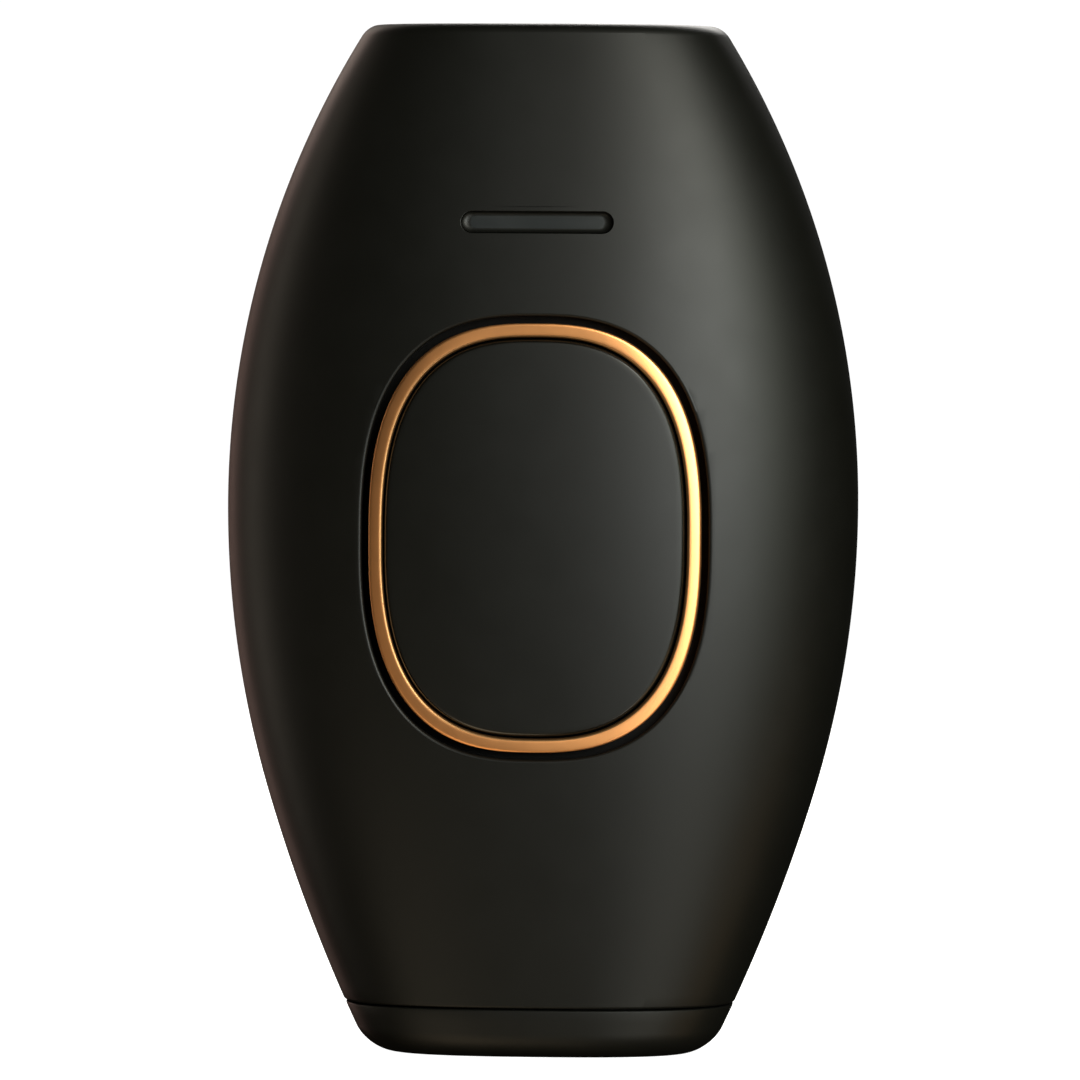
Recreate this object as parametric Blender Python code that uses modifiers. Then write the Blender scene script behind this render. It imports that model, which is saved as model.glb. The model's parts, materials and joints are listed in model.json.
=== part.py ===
"""A hand-held IPL hair remover: a barrel-shaped casing in two shells with a bottom cap, a flash head at the top,
a large framed flash button, a slot display, and the flash, power and cooling parts that the casing holds.

Frame: +Z runs up the handset from its flat base to the flash window, -Y is the front with the button, and the
origin is the centre of the base. Dimensions are in millimetres and become metres through MM.
"""

import math

import bmesh
import bpy
from mathutils import Matrix, Vector

MM = 0.001
GAP = 0.3  # free space between pieces that touch or nearly touch

# Casing: overall form
HEIGHT = 125.0
HALF_WIDTH = 38.6
HALF_DEPTH = 21.5
WAIST_Z = 66.8  # the widest height
BELLY_Z = 62.9  # the deepest height, where the button is centred
TOP_HALF_WIDTH = 21.7
TOP_HALF_DEPTH = 12.5
SEAM_Z = 6.1  # joint between the shells and the bottom cap
SEAM_HALF_DEPTH = 15.5
LOWER_SIDE_RADIUS = 122.5
TAIL_START = 35.4  # how far below the waist the side starts to straighten
TAIL_RADIUS = 205.0
WALL = 2.0
WAIST_EXPONENT = 2.3  # squareness of the cross-section at the waist
END_EXPONENT_RISE = 0.4
CASING_STEPS = 20  # facets round half a section

# Button group, on the front at BELLY_Z
RING_HALF_WIDTH = 20.0
RING_HALF_HEIGHT = 25.75
RING_WIDTH = 1.75
RING_HEIGHT = 2.2
OUTLINE_EXPONENT = 2.65
GROOVE_WIDTH = 1.0
BUTTON_GAP = 0.35
BUTTON_THICKNESS = 1.8
BUTTON_SKIRT = 3.0
BUTTON_TRAVEL = 0.8
OUTLINE_STEPS = 44
BEZEL_FLANGE_DEPTH = 2.5
BEZEL_FLANGE = 1.2
BEZEL_BASE_Y = (-14.6, -13.2)
GUIDE_PLACES = [(sx * 10.5, BELLY_Z + sz * 14.5) for sz in (1, -1) for sx in (-1, 1)]
GUIDE_RADIUS = 1.1
SPRING_RADIUS = 1.9
SPRING_WIRE = 0.25
SPRING_TURNS = 2.5

# Display slot
DISPLAY_Z = 100.9
SLOT_HALF = (9.2, 1.5)
SLOT_FLOOR_HALF = (7.95, 1.15)
LED_PITCH = 3.2
LED_COUNT = 5

# Boards
CONTROL_BOARD_Y = (-12.6, -11.4)
MAIN_BOARD_Y = (-8.0, -6.4)
MAIN_BOARD_Z = (12.0, 68.0)
MAIN_BOARD_HALF_WIDTH = 21.0

# Flash head
FRAME_TOP_Z = 124.7
APERTURE_HALF = (15.5, 5.5)
GLASS_HALF = (16.6, 6.6)
GLASS_Z = (121.9, 123.7)
LAMP_Z = 112.5
LAMP_RADIUS = 3.0
LAMP_HALF_LENGTH = 19.0
REFLECTOR_RADIUS = 5.0
REFLECTOR_WALL = 0.7

# Fan
FAN_Z = 84.0
FAN_HALF = 15.0
FAN_Y = (5.0, 12.5)
FAN_BORE = 13.9
FAN_HUB = 6.6
FAN_BLADES = 7

# Fasteners
CASING_SCREWS = [(-23.0, 97.0), (23.0, 97.0), (-25.0, 36.0), (25.0, 36.0)]
BOSS_RADIUS = 3.2
SCREW_RADIUS = 1.1
SCREW_HEAD_RADIUS = 2.1
SCREW_HEAD = 1.6
CAP_SCREW_X = 13.5

MATERIALS = {
    "black_shell": ((0.018, 0.018, 0.016), 0.42, 0.0),
    "black_trim": ((0.01, 0.01, 0.01), 0.25, 0.0),
    "copper_gold": ((0.72, 0.38, 0.16), 0.28, 1.0),
    "filter_glass": ((0.30, 0.04, 0.02), 0.05, 0.0),
    "smoked_window": ((0.035, 0.04, 0.04), 0.2, 0.0),
    "polished_aluminium": ((0.85, 0.85, 0.86), 0.12, 1.0),
    "steel": ((0.55, 0.55, 0.56), 0.3, 1.0),
    "quartz": ((0.85, 0.88, 0.9), 0.03, 0.0),
    "ceramic": ((0.82, 0.81, 0.77), 0.5, 0.0),
    "silicone": ((0.55, 0.1, 0.07), 0.6, 0.0),
    "board_green": ((0.02, 0.14, 0.06), 0.35, 0.0),
    "capacitor_sleeve": ((0.02, 0.03, 0.09), 0.3, 0.0),
    "ferrite": ((0.06, 0.06, 0.065), 0.55, 0.0),
    "white_plastic": ((0.7, 0.7, 0.68), 0.4, 0.0),
    "red_lead": ((0.5, 0.02, 0.02), 0.4, 0.0),
    "black_lead": ((0.015, 0.015, 0.015), 0.4, 0.0),
}


# ---------------------------------------------------------------- scene helpers
def clear_scene():
    for obj in list(bpy.data.objects):
        bpy.data.objects.remove(obj)


def collection(name):
    made = bpy.data.collections.new(name)
    bpy.context.scene.collection.children.link(made)
    return made


def material(name):
    if name in bpy.data.materials:
        return bpy.data.materials[name]
    colour, roughness, metallic = MATERIALS[name]
    made = bpy.data.materials.new(name)
    made.use_nodes = True
    shader = made.node_tree.nodes["Principled BSDF"]
    shader.inputs["Base Color"].default_value = (*colour, 1.0)
    shader.inputs["Roughness"].default_value = roughness
    shader.inputs["Metallic"].default_value = metallic
    return made


def metres(point):
    return Vector(point) * MM


def file_under(obj, group):
    """Moves an object into one of the script's collections."""
    for old in list(obj.users_collection):
        old.objects.unlink(obj)
    group.objects.link(obj)
    return obj


def part(obj, name, finish):
    """Names an object as a piece of the handset and gives it its material and shading."""
    obj.name = name
    obj.data.name = name
    obj.data.materials.clear()
    obj.data.materials.append(material(finish))
    if obj.type == "MESH":
        obj.data.shade_smooth()
        obj.data.set_sharp_from_angle(angle=math.radians(35))
    if obj.parent is None:
        obj.parent = ROOT
    return file_under(obj, HANDSET)


def helper(obj, name):
    """Keeps an object only as a Boolean's other shape."""
    obj.name = name
    obj.hide_render = True
    obj.display_type = "WIRE"
    return file_under(obj, CUTTERS)


def empty(name, place):
    made = bpy.data.objects.new(name, None)
    made.location = metres(place)
    HANDSET.objects.link(made)
    made.parent = ROOT
    return made


def ride_on(obj, carrier):
    """Parents a moving piece to the empty on its joint's axis, leaving it where it is."""
    bpy.context.view_layer.update()
    world = obj.matrix_world.copy()
    obj.parent = carrier
    obj.matrix_parent_inverse = carrier.matrix_world.inverted()
    obj.matrix_world = world
    return obj


def boolean(target, other, operation):
    modifier = target.modifiers.new(operation.title(), "BOOLEAN")
    modifier.operation = operation
    modifier.solver = "EXACT"
    modifier.object = other
    return target


def cut(target, *cutters):
    for n, cutter in enumerate(cutters):
        helper(cutter, f"{target.name}_cut_{len(target.modifiers)}_{n}")
        boolean(target, cutter, "DIFFERENCE")
    return target


def add(target, *shapes):
    for n, shape in enumerate(shapes):
        helper(shape, f"{target.name}_add_{len(target.modifiers)}_{n}")
        boolean(target, shape, "UNION")
    return target


def bevel(obj, width, segments=2, angle=40):
    modifier = obj.modifiers.new("Bevel", "BEVEL")
    modifier.width = width * MM
    modifier.segments = segments
    modifier.limit_method = "ANGLE"
    modifier.angle_limit = math.radians(angle)
    return obj


# ---------------------------------------------------------------- basic shapes
def box(low, high):
    low, high = Vector(low), Vector(high)
    bpy.ops.mesh.primitive_cube_add(size=1.0, location=metres((low + high) / 2))
    made = bpy.context.object
    made.scale = metres(high - low)
    bpy.ops.object.transform_apply(location=False, rotation=False, scale=True)
    return made


def cylinder(start, end, radius, sides=24):
    """A round bar between two points."""
    start, end = Vector(start), Vector(end)
    along = end - start
    bpy.ops.mesh.primitive_cylinder_add(
        vertices=sides, radius=radius * MM, depth=along.length * MM, location=metres((start + end) / 2)
    )
    made = bpy.context.object
    made.rotation_mode = "QUATERNION"
    made.rotation_quaternion = along.to_track_quat("Z", "Y")
    return made


def turned(profile, place, axis, steps=24, closed=False):
    """A profile of (radius, height) points, running down its outer side, turned round an axis through a point."""
    mesh = bpy.data.meshes.new("turned")
    count = len(profile)
    edges = [(n, n + 1) for n in range(count - 1)]
    if closed:
        edges.append((count - 1, 0))
    mesh.from_pydata([metres((radius, 0.0, height)) for radius, height in profile], edges, [])
    made = bpy.data.objects.new("turned", mesh)
    bpy.context.scene.collection.objects.link(made)
    screw = made.modifiers.new("Screw", "SCREW")
    screw.steps = steps
    screw.render_steps = steps
    screw.use_merge_vertices = True
    screw.merge_threshold = 1e-6
    made.location = metres(place)
    made.rotation_mode = "QUATERNION"
    made.rotation_quaternion = Vector(axis).to_track_quat("Z", "Y")
    return made


def prism(outline, along, low, high):
    """A flat outline of (u, v) points pushed along an axis. The outline lies in XZ for axis Y, and in XY for Z."""
    mesh = bmesh.new()
    if along == "Y":
        points = [(u, low, v) for u, v in outline]
        push = (0.0, high - low, 0.0)
    else:
        points = [(u, v, low) for u, v in outline]
        push = (0.0, 0.0, high - low)
    face = mesh.faces.new([mesh.verts.new(metres(p)) for p in points])
    pushed = bmesh.ops.extrude_face_region(mesh, geom=[face])
    moved = [v for v in pushed["geom"] if isinstance(v, bmesh.types.BMVert)]
    bmesh.ops.translate(mesh, verts=moved, vec=metres(push))
    return from_bmesh(mesh)


def loft(loops, cyclic=False):
    """A skin over a row of closed loops of points. The end loops are filled unless the row closes on itself."""
    mesh = bmesh.new()
    rows = [[mesh.verts.new(metres(p)) for p in loop] for loop in loops]
    pairs = list(zip(rows, rows[1:]))
    if cyclic:
        pairs.append((rows[-1], rows[0]))
    for here, there in pairs:
        for n in range(len(here)):
            after = (n + 1) % len(here)
            mesh.faces.new((here[n], here[after], there[after], there[n]))
    if not cyclic:
        mesh.faces.new(rows[0][::-1])
        mesh.faces.new(rows[-1])
    return from_bmesh(mesh)


def from_bmesh(mesh):
    bmesh.ops.recalc_face_normals(mesh, faces=mesh.faces)
    data = bpy.data.meshes.new("shape")
    mesh.to_mesh(data)
    mesh.free()
    made = bpy.data.objects.new("shape", data)
    bpy.context.scene.collection.objects.link(made)
    return made


def wire(points, radius, finish, name, sides=2):
    """A round lead along a smooth route through the given points."""
    route = smooth_route([Vector(p) for p in points], 4)
    curve = bpy.data.curves.new(name, "CURVE")
    curve.dimensions = "3D"
    curve.bevel_depth = radius * MM
    curve.bevel_resolution = sides
    curve.use_fill_caps = True
    spline = curve.splines.new("POLY")
    spline.points.add(len(route) - 1)
    for place, point in zip(spline.points, route):
        place.co = (*metres(point), 1.0)
    made = bpy.data.objects.new(name, curve)
    bpy.context.scene.collection.objects.link(made)
    return part(made, name, finish)


def smooth_route(points, per_span):
    """Points read from the Catmull-Rom curve through a route's own points."""
    ends = [2 * points[0] - points[1], *points, 2 * points[-1] - points[-2]]
    route = []
    for a, b, c, d in zip(ends, ends[1:], ends[2:], ends[3:]):
        for n in range(per_span):
            t = n / per_span
            route.append(
                0.5 * (2 * b + (c - a) * t + (2 * a - 5 * b + 4 * c - d) * t**2 + (3 * b - a - 3 * c + d) * t**3)
            )
    return [*route, points[-1]]


# ---------------------------------------------------------------- the casing's form
def arc_drop(radius, run):
    """How far an arc falls away from its crown over a run along its tangent."""
    return radius - math.sqrt(radius**2 - run**2)


def arc_radius(drop, run):
    return (run**2 + drop**2) / (2 * drop)


def half_width(z):
    run = abs(z - WAIST_Z)
    if z >= WAIST_Z:
        radius = arc_radius(HALF_WIDTH - TOP_HALF_WIDTH, HEIGHT - WAIST_Z)
        return HALF_WIDTH - arc_drop(radius, run)
    if run <= TAIL_START:
        return HALF_WIDTH - arc_drop(LOWER_SIDE_RADIUS, run)
    start = math.asin(TAIL_START / LOWER_SIDE_RADIUS)
    here = math.asin(math.sin(start) + (run - TAIL_START) / TAIL_RADIUS)
    tail_drop = TAIL_RADIUS * (math.cos(start) - math.cos(here))
    return HALF_WIDTH - arc_drop(LOWER_SIDE_RADIUS, TAIL_START) - tail_drop


def half_depth(z):
    if z >= BELLY_Z:
        radius = arc_radius(HALF_DEPTH - TOP_HALF_DEPTH, HEIGHT - BELLY_Z)
    else:
        radius = arc_radius(HALF_DEPTH - SEAM_HALF_DEPTH, BELLY_Z - SEAM_Z)
    return HALF_DEPTH - arc_drop(radius, abs(z - BELLY_Z))


def exponent(z):
    return WAIST_EXPONENT + END_EXPONENT_RISE * ((z - BELLY_Z) / BELLY_Z) ** 2


def power(value, index):
    return math.copysign(abs(value) ** index, value)


def section_point(z, inset, angle):
    """A point of the casing's cross-section at a height, inset from the outer skin. Angle 0 is +X, and 90 is +Y."""
    index = 2 / exponent(z)
    x = (half_width(z) - inset) * power(math.cos(angle), index)
    y = (half_depth(z) - inset) * power(math.sin(angle), index)
    return x, y, z


def front_y(x, z, inset=0.0):
    """The front skin's Y over a point of the front view."""
    index = exponent(z)
    across = min(1.0, abs(x) / (half_width(z) - inset))
    return -(half_depth(z) - inset) * (1 - across**index) ** (1 / index)


def ring_at(z, inset, steps=2 * CASING_STEPS):
    return [section_point(z, inset, 2 * math.pi * n / steps) for n in range(steps)]


def half_shell(profile, side):
    """A closed (height, inset) profile swept round half the section. Side -1 is the front and +1 the rear."""
    loops = []
    for n in range(CASING_STEPS + 1):
        angle = side * math.pi * n / CASING_STEPS
        loop = []
        for z, inset in profile:
            x, y, _ = section_point(z, inset, angle)
            depth = half_depth(z) - inset
            loop.append((x, side * GAP / 2 + y * (1 - GAP / 2 / depth), z))
        loops.append(loop)
    return loft(loops)


def even(low, high, count):
    return [low + (high - low) * n / (count - 1) for n in range(count)]


# ---------------------------------------------------------------- outlines on the front
def outline(outset=0.0, scale=1.0, steps=OUTLINE_STEPS):
    """The button group's outline in the front view, grown or shrunk from the accent ring's outer edge."""
    index = 2 / OUTLINE_EXPONENT
    points = []
    for n in range(steps):
        angle = 2 * math.pi * n / steps
        x = (RING_HALF_WIDTH * scale + outset) * power(math.cos(angle), index)
        z = (RING_HALF_HEIGHT * scale + outset) * power(math.sin(angle), index)
        points.append((x, BELLY_Z + z))
    return points


def at_depth(points, depth):
    """Front-view points dropped a depth below the front skin."""
    return [(x, front_y(x, z) + depth, z) for x, z in points]


def at_y(points, y):
    return [(x, y, z) for x, z in points]


def stadium(half_long, half_high, centre_z, steps=8):
    """A slot outline with round ends, lying along X."""
    straight = half_long - half_high
    points = []
    for side, start in ((1, -math.pi / 2), (-1, math.pi / 2)):
        for n in range(steps + 1):
            angle = start + math.pi * n / steps
            points.append((side * straight + half_high * math.cos(angle), centre_z + half_high * math.sin(angle)))
    return points


def upright_stadium(centre_x, half_wide, low, high, steps=6):
    """A slot outline with round ends, standing along Z."""
    points = []
    for top, start in ((high - half_wide, 0.0), (low + half_wide, math.pi)):
        for n in range(steps + 1):
            angle = start + math.pi * n / steps
            points.append((centre_x + half_wide * math.cos(angle), top + half_wide * math.sin(angle)))
    return points


# ---------------------------------------------------------------- casing
def inner_levels():
    return even(120.0, SEAM_Z + GAP / 2, 11)


def shell_profile():
    """The shells' wall as (height, inset) points: outer skin up, rounded top rim, inner skin down."""
    low = SEAM_Z + GAP / 2
    outer = [(low, 0.15), (low + 0.15, 0.0), *[(z, 0.0) for z in even(13.0, 121.5, 10)], (HEIGHT - 1.0, 0.0)]
    rim = [(HEIGHT - 0.3, 0.3), (HEIGHT, 0.9), (HEIGHT, WALL - 0.2), (HEIGHT - 0.2, WALL)]
    return outer + rim + [(z, WALL) for z in inner_levels()]


def core():
    """The casing's solid form a millimetre under its skin, which trims the posts to the walls."""
    return helper(loft([ring_at(z, 1.0) for z in even(7.0, 124.0, 14)]), "core")


def post(start, end, radius, sides=14):
    """A round post that ends inside the casing's wall."""
    return boolean(cylinder(start, end, radius, sides), CORE, "INTERSECT")


def lip(side):
    """A rib inside the rear shell's edge that overlaps the front shell's and closes the parting line."""
    rows = []
    for z in [z for z in inner_levels() if 10.0 < z < 117.0]:
        wall = half_width(z) - WALL
        outline_points = [(wall - 0.4, -1.4), (wall - 0.4, 0.3), (wall + 0.7, 0.6), (wall + 0.7, 2.2)]
        outline_points += [(wall - 1.2, 2.2), (wall - 1.2, -1.4)]
        rows.append([(side * x, y, z) for x, y in outline_points])
    return loft(rows)


def front_shell():
    shell = part(half_shell(shell_profile(), -1), "front_shell", "black_shell")
    opening = prism(outline(GROOVE_WIDTH), "Y", -30.0, -8.0)
    slot = loft([at_y(stadium(*SLOT_HALF, DISPLAY_Z), -19.2), at_y(stadium(*SLOT_FLOOR_HALF, DISPLAY_Z), -14.0)])
    for x, z in CASING_SCREWS:
        add(shell, post((x, -30.0, z), (x, -GAP / 2, z), BOSS_RADIUS, 16))
    for x, z in CASING_SCREWS:
        cut(shell, cylinder((x, -9.0, z), (x, 1.0, z), SCREW_RADIUS + GAP, 12))
    return cut(shell, opening, slot)


def grille_slots():
    """Upright slots over the fan, whose ends follow a circle."""
    slots = []
    for n in range(-3, 4):
        reach = math.sqrt(13.2**2 - (n * 3.6) ** 2)
        slots.append(prism(upright_stadium(n * 3.6, 0.9, FAN_Z - reach, FAN_Z + reach), "Y", 12.0, 26.0))
    return slots


def exhaust_slots():
    """Four level slots low on the back."""
    return [prism(stadium(8.0, 0.8, 16.0 + 3.4 * n, 5), "Y", 10.0, 26.0) for n in range(4)]


def rear_shell():
    shell = part(half_shell(shell_profile(), 1), "rear_shell", "black_shell")
    add(shell, lip(-1), lip(1))
    for x, z in CASING_SCREWS:
        add(shell, post((x, GAP / 2, z), (x, 30.0, z), BOSS_RADIUS, 16))
    for x, z in board_posts():
        add(shell, post((x, MAIN_BOARD_Y[1] + GAP, z), (x, 30.0, z), 2.2, 12))
    for x, z in fan_posts():
        add(shell, post((x, FAN_Y[1] + GAP, z), (x, 30.0, z), 2.0, 12))
    for side in (-1, 1):
        x = side * CAP_SCREW_X
        add(shell, boolean(box((x - 2.6, -3.0, 10.6), (x + 2.6, 30.0, 14.6)), CORE, "INTERSECT"))
        cut(shell, cylinder((x, 0.0, 9.0), (x, 0.0, 16.0), SCREW_RADIUS + GAP, 12))
    for x, z in CASING_SCREWS:
        cut(shell, cylinder((x, -1.0, z), (x, 26.0, z), SCREW_RADIUS + GAP, 12))
        cut(shell, cylinder((x, 6.0, z), (x, 26.0, z), SCREW_HEAD_RADIUS + 0.4, 16))
    for x, z in board_posts():
        cut(shell, cylinder((x, -8.0, z), (x, 0.0, z), 0.9, 10))
    for x, z in fan_posts():
        cut(shell, cylinder((x, 12.0, z), (x, 15.5, z), 1.0, 10))
    return cut(shell, *grille_slots(), *exhaust_slots())


def board_posts():
    return [(-19.0, 64.0), (19.0, 64.0), (-17.5, 17.0), (17.5, 17.0)]


def fan_posts():
    return [(sx * 12.4, FAN_Z + sz * 12.4) for sz in (1, -1) for sx in (-1, 1)]


def bottom_cap():
    """A cup with a rounded foot, a tongue that enters the shells, a jack hole and two screw wells."""
    corner = 3.0
    turn = [math.radians(a) for a in (0, 30, 60, 90)]
    foot = [(corner - corner * math.sin(a), corner - corner * math.cos(a)) for a in turn]
    top = SEAM_Z - GAP / 2
    tongue = (WALL + GAP, WALL + GAP + 1.2)
    inside = [(2.0, 3.7), (2.6, tongue[1]), (top + 3.0, tongue[1]), (top + 3.0, tongue[0])]
    outside = [(top, tongue[0]), (top, 0.15), (top - 0.15, 0.0), *foot]
    cap = part(loft([ring_at(z, inset) for z, inset in inside + outside]), "bottom_cap", "black_shell")
    for side in (-1, 1):
        x = side * CAP_SCREW_X
        add(cap, cylinder((x, 0, 1.0), (x, 0, 10.2), 3.2, 16))
    for side in (-1, 1):
        x = side * CAP_SCREW_X
        cut(cap, cylinder((x, 0, -1), (x, 0, 7.4), SCREW_HEAD_RADIUS + 0.4, 16))
        cut(cap, cylinder((x, 0, 6.0), (x, 0, 12.0), SCREW_RADIUS + GAP, 12))
    return cut(cap, cylinder((0, 0, -1), (0, 0, 4), 4.0 + GAP, 24))


# ---------------------------------------------------------------- flash head
def flash_head_frame():
    """The collar round the flash window: a plug in the casing's mouth on a wider hidden flange."""
    plug = WALL + GAP
    rings = [
        ring_at_size(117.4, 118.0, plug + 0.4),
        ring_at_size(119.0, 118.0, plug + 0.4),
        ring_at_size(119.0, HEIGHT, plug),
        ring_at_size(FRAME_TOP_Z - 0.4, HEIGHT, plug),
        ring_at_size(FRAME_TOP_Z, HEIGHT, plug + 0.4),
    ]
    frame = part(loft(rings), "flash_head_frame", "black_trim")
    aperture = box((-APERTURE_HALF[0], -APERTURE_HALF[1], 116), (APERTURE_HALF[0], APERTURE_HALF[1], 126))
    pocket_half = (GLASS_HALF[0] + GAP, GLASS_HALF[1] + GAP)
    pocket = box((-pocket_half[0], -pocket_half[1], 116), (pocket_half[0], pocket_half[1], GLASS_Z[1] + 0.1))
    bevel(aperture, 1.2, 3)
    cut(frame, aperture, pocket)
    for side in (-1, 1):
        low, high = contact_box(side, GAP)
        cut(frame, box(low, (high[0], high[1], 126)))
    return frame


def ring_at_size(z, size_z, inset):
    """The casing's section taken at one height and placed at another."""
    return [(x, y, z) for x, y, _ in ring_at(size_z, inset)]


def contact_box(side, grow=0.0):
    """The slot or the strip of a skin contact, beside the window."""
    middle = side * 17.35
    low = (middle - 0.6 - grow, -3.5 - grow, 123.2)
    high = (middle + 0.6 + grow, 3.5 + grow, FRAME_TOP_Z + 0.15)
    return low, high


def skin_contacts():
    for side, name in ((-1, "skin_contact_left"), (1, "skin_contact_right")):
        low, high = contact_box(side)
        strip = part(box((low[0], low[1], low[2] + GAP), high), name, "steel")
        bevel(strip, 0.2, 2)


def filter_window():
    low = (-GLASS_HALF[0], -GLASS_HALF[1], GLASS_Z[0])
    high = (GLASS_HALF[0], GLASS_HALF[1], GLASS_Z[1] - GAP)
    glass = part(box(low, high), "filter_window", "filter_glass")
    bevel(glass, 0.25, 1)


def window_gasket():
    """A silicone seal between the glass and the reflector's mouth."""
    top = GLASS_Z[0] - GAP
    outer = box((-16.4, -6.4, top - 1.0), (16.4, 6.4, top))
    gasket = part(outer, "window_gasket", "silicone")
    bevel(gasket, 0.8, 2)
    cut(gasket, box((-15.2, -5.2, top - 3), (15.2, 5.2, top + 3)))


def reflector():
    """A polished trough round the lamp, open towards the window."""
    mouth = 120.0
    inner, outer = [], []
    for n in range(13):
        angle = math.pi * n / 12
        for row, radius in ((inner, REFLECTOR_RADIUS), (outer, REFLECTOR_RADIUS + REFLECTOR_WALL)):
            row.append((-radius * math.cos(angle), LAMP_Z - radius * math.sin(angle)))
    section = [(-REFLECTOR_RADIUS, mouth), *inner, (REFLECTOR_RADIUS, mouth)]
    edge = REFLECTOR_RADIUS + REFLECTOR_WALL
    section += [(edge, mouth), *outer[::-1], (-edge, mouth)]
    half = 15.0
    trough = loft([[(x, y, z) for y, z in section] for x in (-half, half)])
    part(trough, "reflector", "polished_aluminium")


def flash_lamp():
    outer, inner, half = LAMP_RADIUS, LAMP_RADIUS - 0.8, LAMP_HALF_LENGTH
    tube = [(outer, half), (outer, -half), (inner, -half), (inner, half)]
    part(turned(tube, (0, 0, LAMP_Z), (1, 0, 0), 20, closed=True), "flash_lamp_tube", "quartz")
    for side, name in ((-1, "lamp_electrode_left"), (1, "lamp_electrode_right")):
        rod = [(0, 7.4), (1.0, 7.4), (1.0, 6.0), (1.9, 6.0), (1.9, 2.0), (0.8, 1.6), (0.8, -4.6), (1.4, -5.0)]
        rod += [(1.4, -8.0), (0, -8.0)]
        centre = side * (half - 3.0)
        part(turned(rod, (centre, 0, LAMP_Z), (side, 0, 0), 16), name, "steel")


def lamp_holders():
    """Heat-proof blocks that close the reflector's ends and carry the lamp."""
    for side, name in ((-1, "lamp_holder_left"), (1, "lamp_holder_right")):
        near, far = sorted((side * 15.3, side * 18.2))
        block = part(box((near, -6.2, 106.6), (far, 6.2, 117.0)), name, "ceramic")
        bevel(block, 0.6, 2)
        cut(block, cylinder((near - 2, 0, LAMP_Z), (far + 2, 0, LAMP_Z), LAMP_RADIUS + GAP, 20))


def thermal_cutout():
    low = REFLECTOR_RADIUS + REFLECTOR_WALL + GAP
    disc = cylinder((6.0, low, 112.0), (6.0, low + 3.0, 112.0), 3.4, 20)
    bevel(part(disc, "thermal_cutout", "polished_aluminium"), 0.4, 2)


# ---------------------------------------------------------------- button group
def accent_ring():
    profile = [(0.0, 0.35), (-0.3, 0.05), (0.3 - RING_WIDTH, 0.05), (-RING_WIDTH, 0.35)]
    profile += [(-RING_WIDTH, RING_HEIGHT), (0.0, RING_HEIGHT)]
    rows = [at_depth(outline(outset), depth) for outset, depth in profile]
    part(loft(rows, cyclic=True), "accent_ring", "copper_gold")


def button_bezel():
    """The tub behind the button: a flange that carries the ring, a wall, and a flat base with guide holes."""
    inner, outer, flange = -RING_WIDTH, -0.3, GROOVE_WIDTH + 1.5
    rows = [
        at_y(outline(inner), BEZEL_BASE_Y[0]),
        at_depth(outline(inner), BEZEL_FLANGE_DEPTH),
        at_depth(outline(flange), BEZEL_FLANGE_DEPTH),
        at_depth(outline(flange), BEZEL_FLANGE_DEPTH + BEZEL_FLANGE),
        at_depth(outline(outer), BEZEL_FLANGE_DEPTH + BEZEL_FLANGE),
        at_y(outline(outer), BEZEL_BASE_Y[1]),
    ]
    bezel = part(loft(rows), "button_bezel", "black_trim")
    for x, z in GUIDE_PLACES:
        cut(bezel, cylinder((x, -16.0, z), (x, -12.0, z), GUIDE_RADIUS + GAP, 12))
    return cut(bezel, box((-4.0, -16.0, BELLY_Z - 4.0), (4.0, -12.0, BELLY_Z + 4.0)))


def button_cap(carrier):
    """The flash button: a thin crowned plate with a skirt, a centre boss over the switch and four guide pins."""
    edge = -RING_WIDTH - BUTTON_GAP
    top, under = 0.05, BUTTON_THICKNESS
    rows = [at_depth(outline(0, scale), top) for scale in (0.12, 0.4, 0.68)]
    rows += [at_depth(outline(edge - 0.4), top), at_depth(outline(edge - 0.12), top + 0.12)]
    rows += [at_depth(outline(edge), top + 0.4), at_depth(outline(edge), BUTTON_SKIRT)]
    rows += [at_depth(outline(edge - 1.3), BUTTON_SKIRT), at_depth(outline(edge - 1.3), under)]
    rows += [at_depth(outline(0, scale), under) for scale in (0.5, 0.12)]
    cap = part(loft(rows), "button_cap", "black_shell")
    add(cap, cylinder((0, front_y(0, BELLY_Z) + 1.0, BELLY_Z), (0, -17.6, BELLY_Z), 2.5, 16))
    for x, z in GUIDE_PLACES:
        add(cap, cylinder((x, front_y(x, z) + 1.0, z), (x, -13.9, z), GUIDE_RADIUS, 12))
    return ride_on(cap, carrier)


def button_springs():
    """Coils round the guide pins, between the bezel's base and the button."""
    for n, (x, z) in enumerate(GUIDE_PLACES):
        name = f"button_spring_{n + 1}"
        start = BEZEL_BASE_Y[0] - GAP - SPRING_WIRE
        end = front_y(x, z) + BUTTON_THICKNESS + 0.6 + SPRING_WIRE
        count = int(SPRING_TURNS * 7)
        curve = bpy.data.curves.new(name, "CURVE")
        curve.dimensions = "3D"
        curve.bevel_depth = SPRING_WIRE * MM
        curve.bevel_resolution = 1
        curve.use_fill_caps = True
        spline = curve.splines.new("POLY")
        spline.points.add(count)
        for step, place in enumerate(spline.points):
            turn = 2 * math.pi * SPRING_TURNS * step / count
            y = start + (end - start) * step / count
            place.co = (*metres((SPRING_RADIUS * math.cos(turn), y, SPRING_RADIUS * math.sin(turn))), 1.0)
        coil = bpy.data.objects.new(name, curve)
        coil.location = metres((x, 0.0, z))
        bpy.context.scene.collection.objects.link(coil)
        part(coil, name, "steel")


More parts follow.
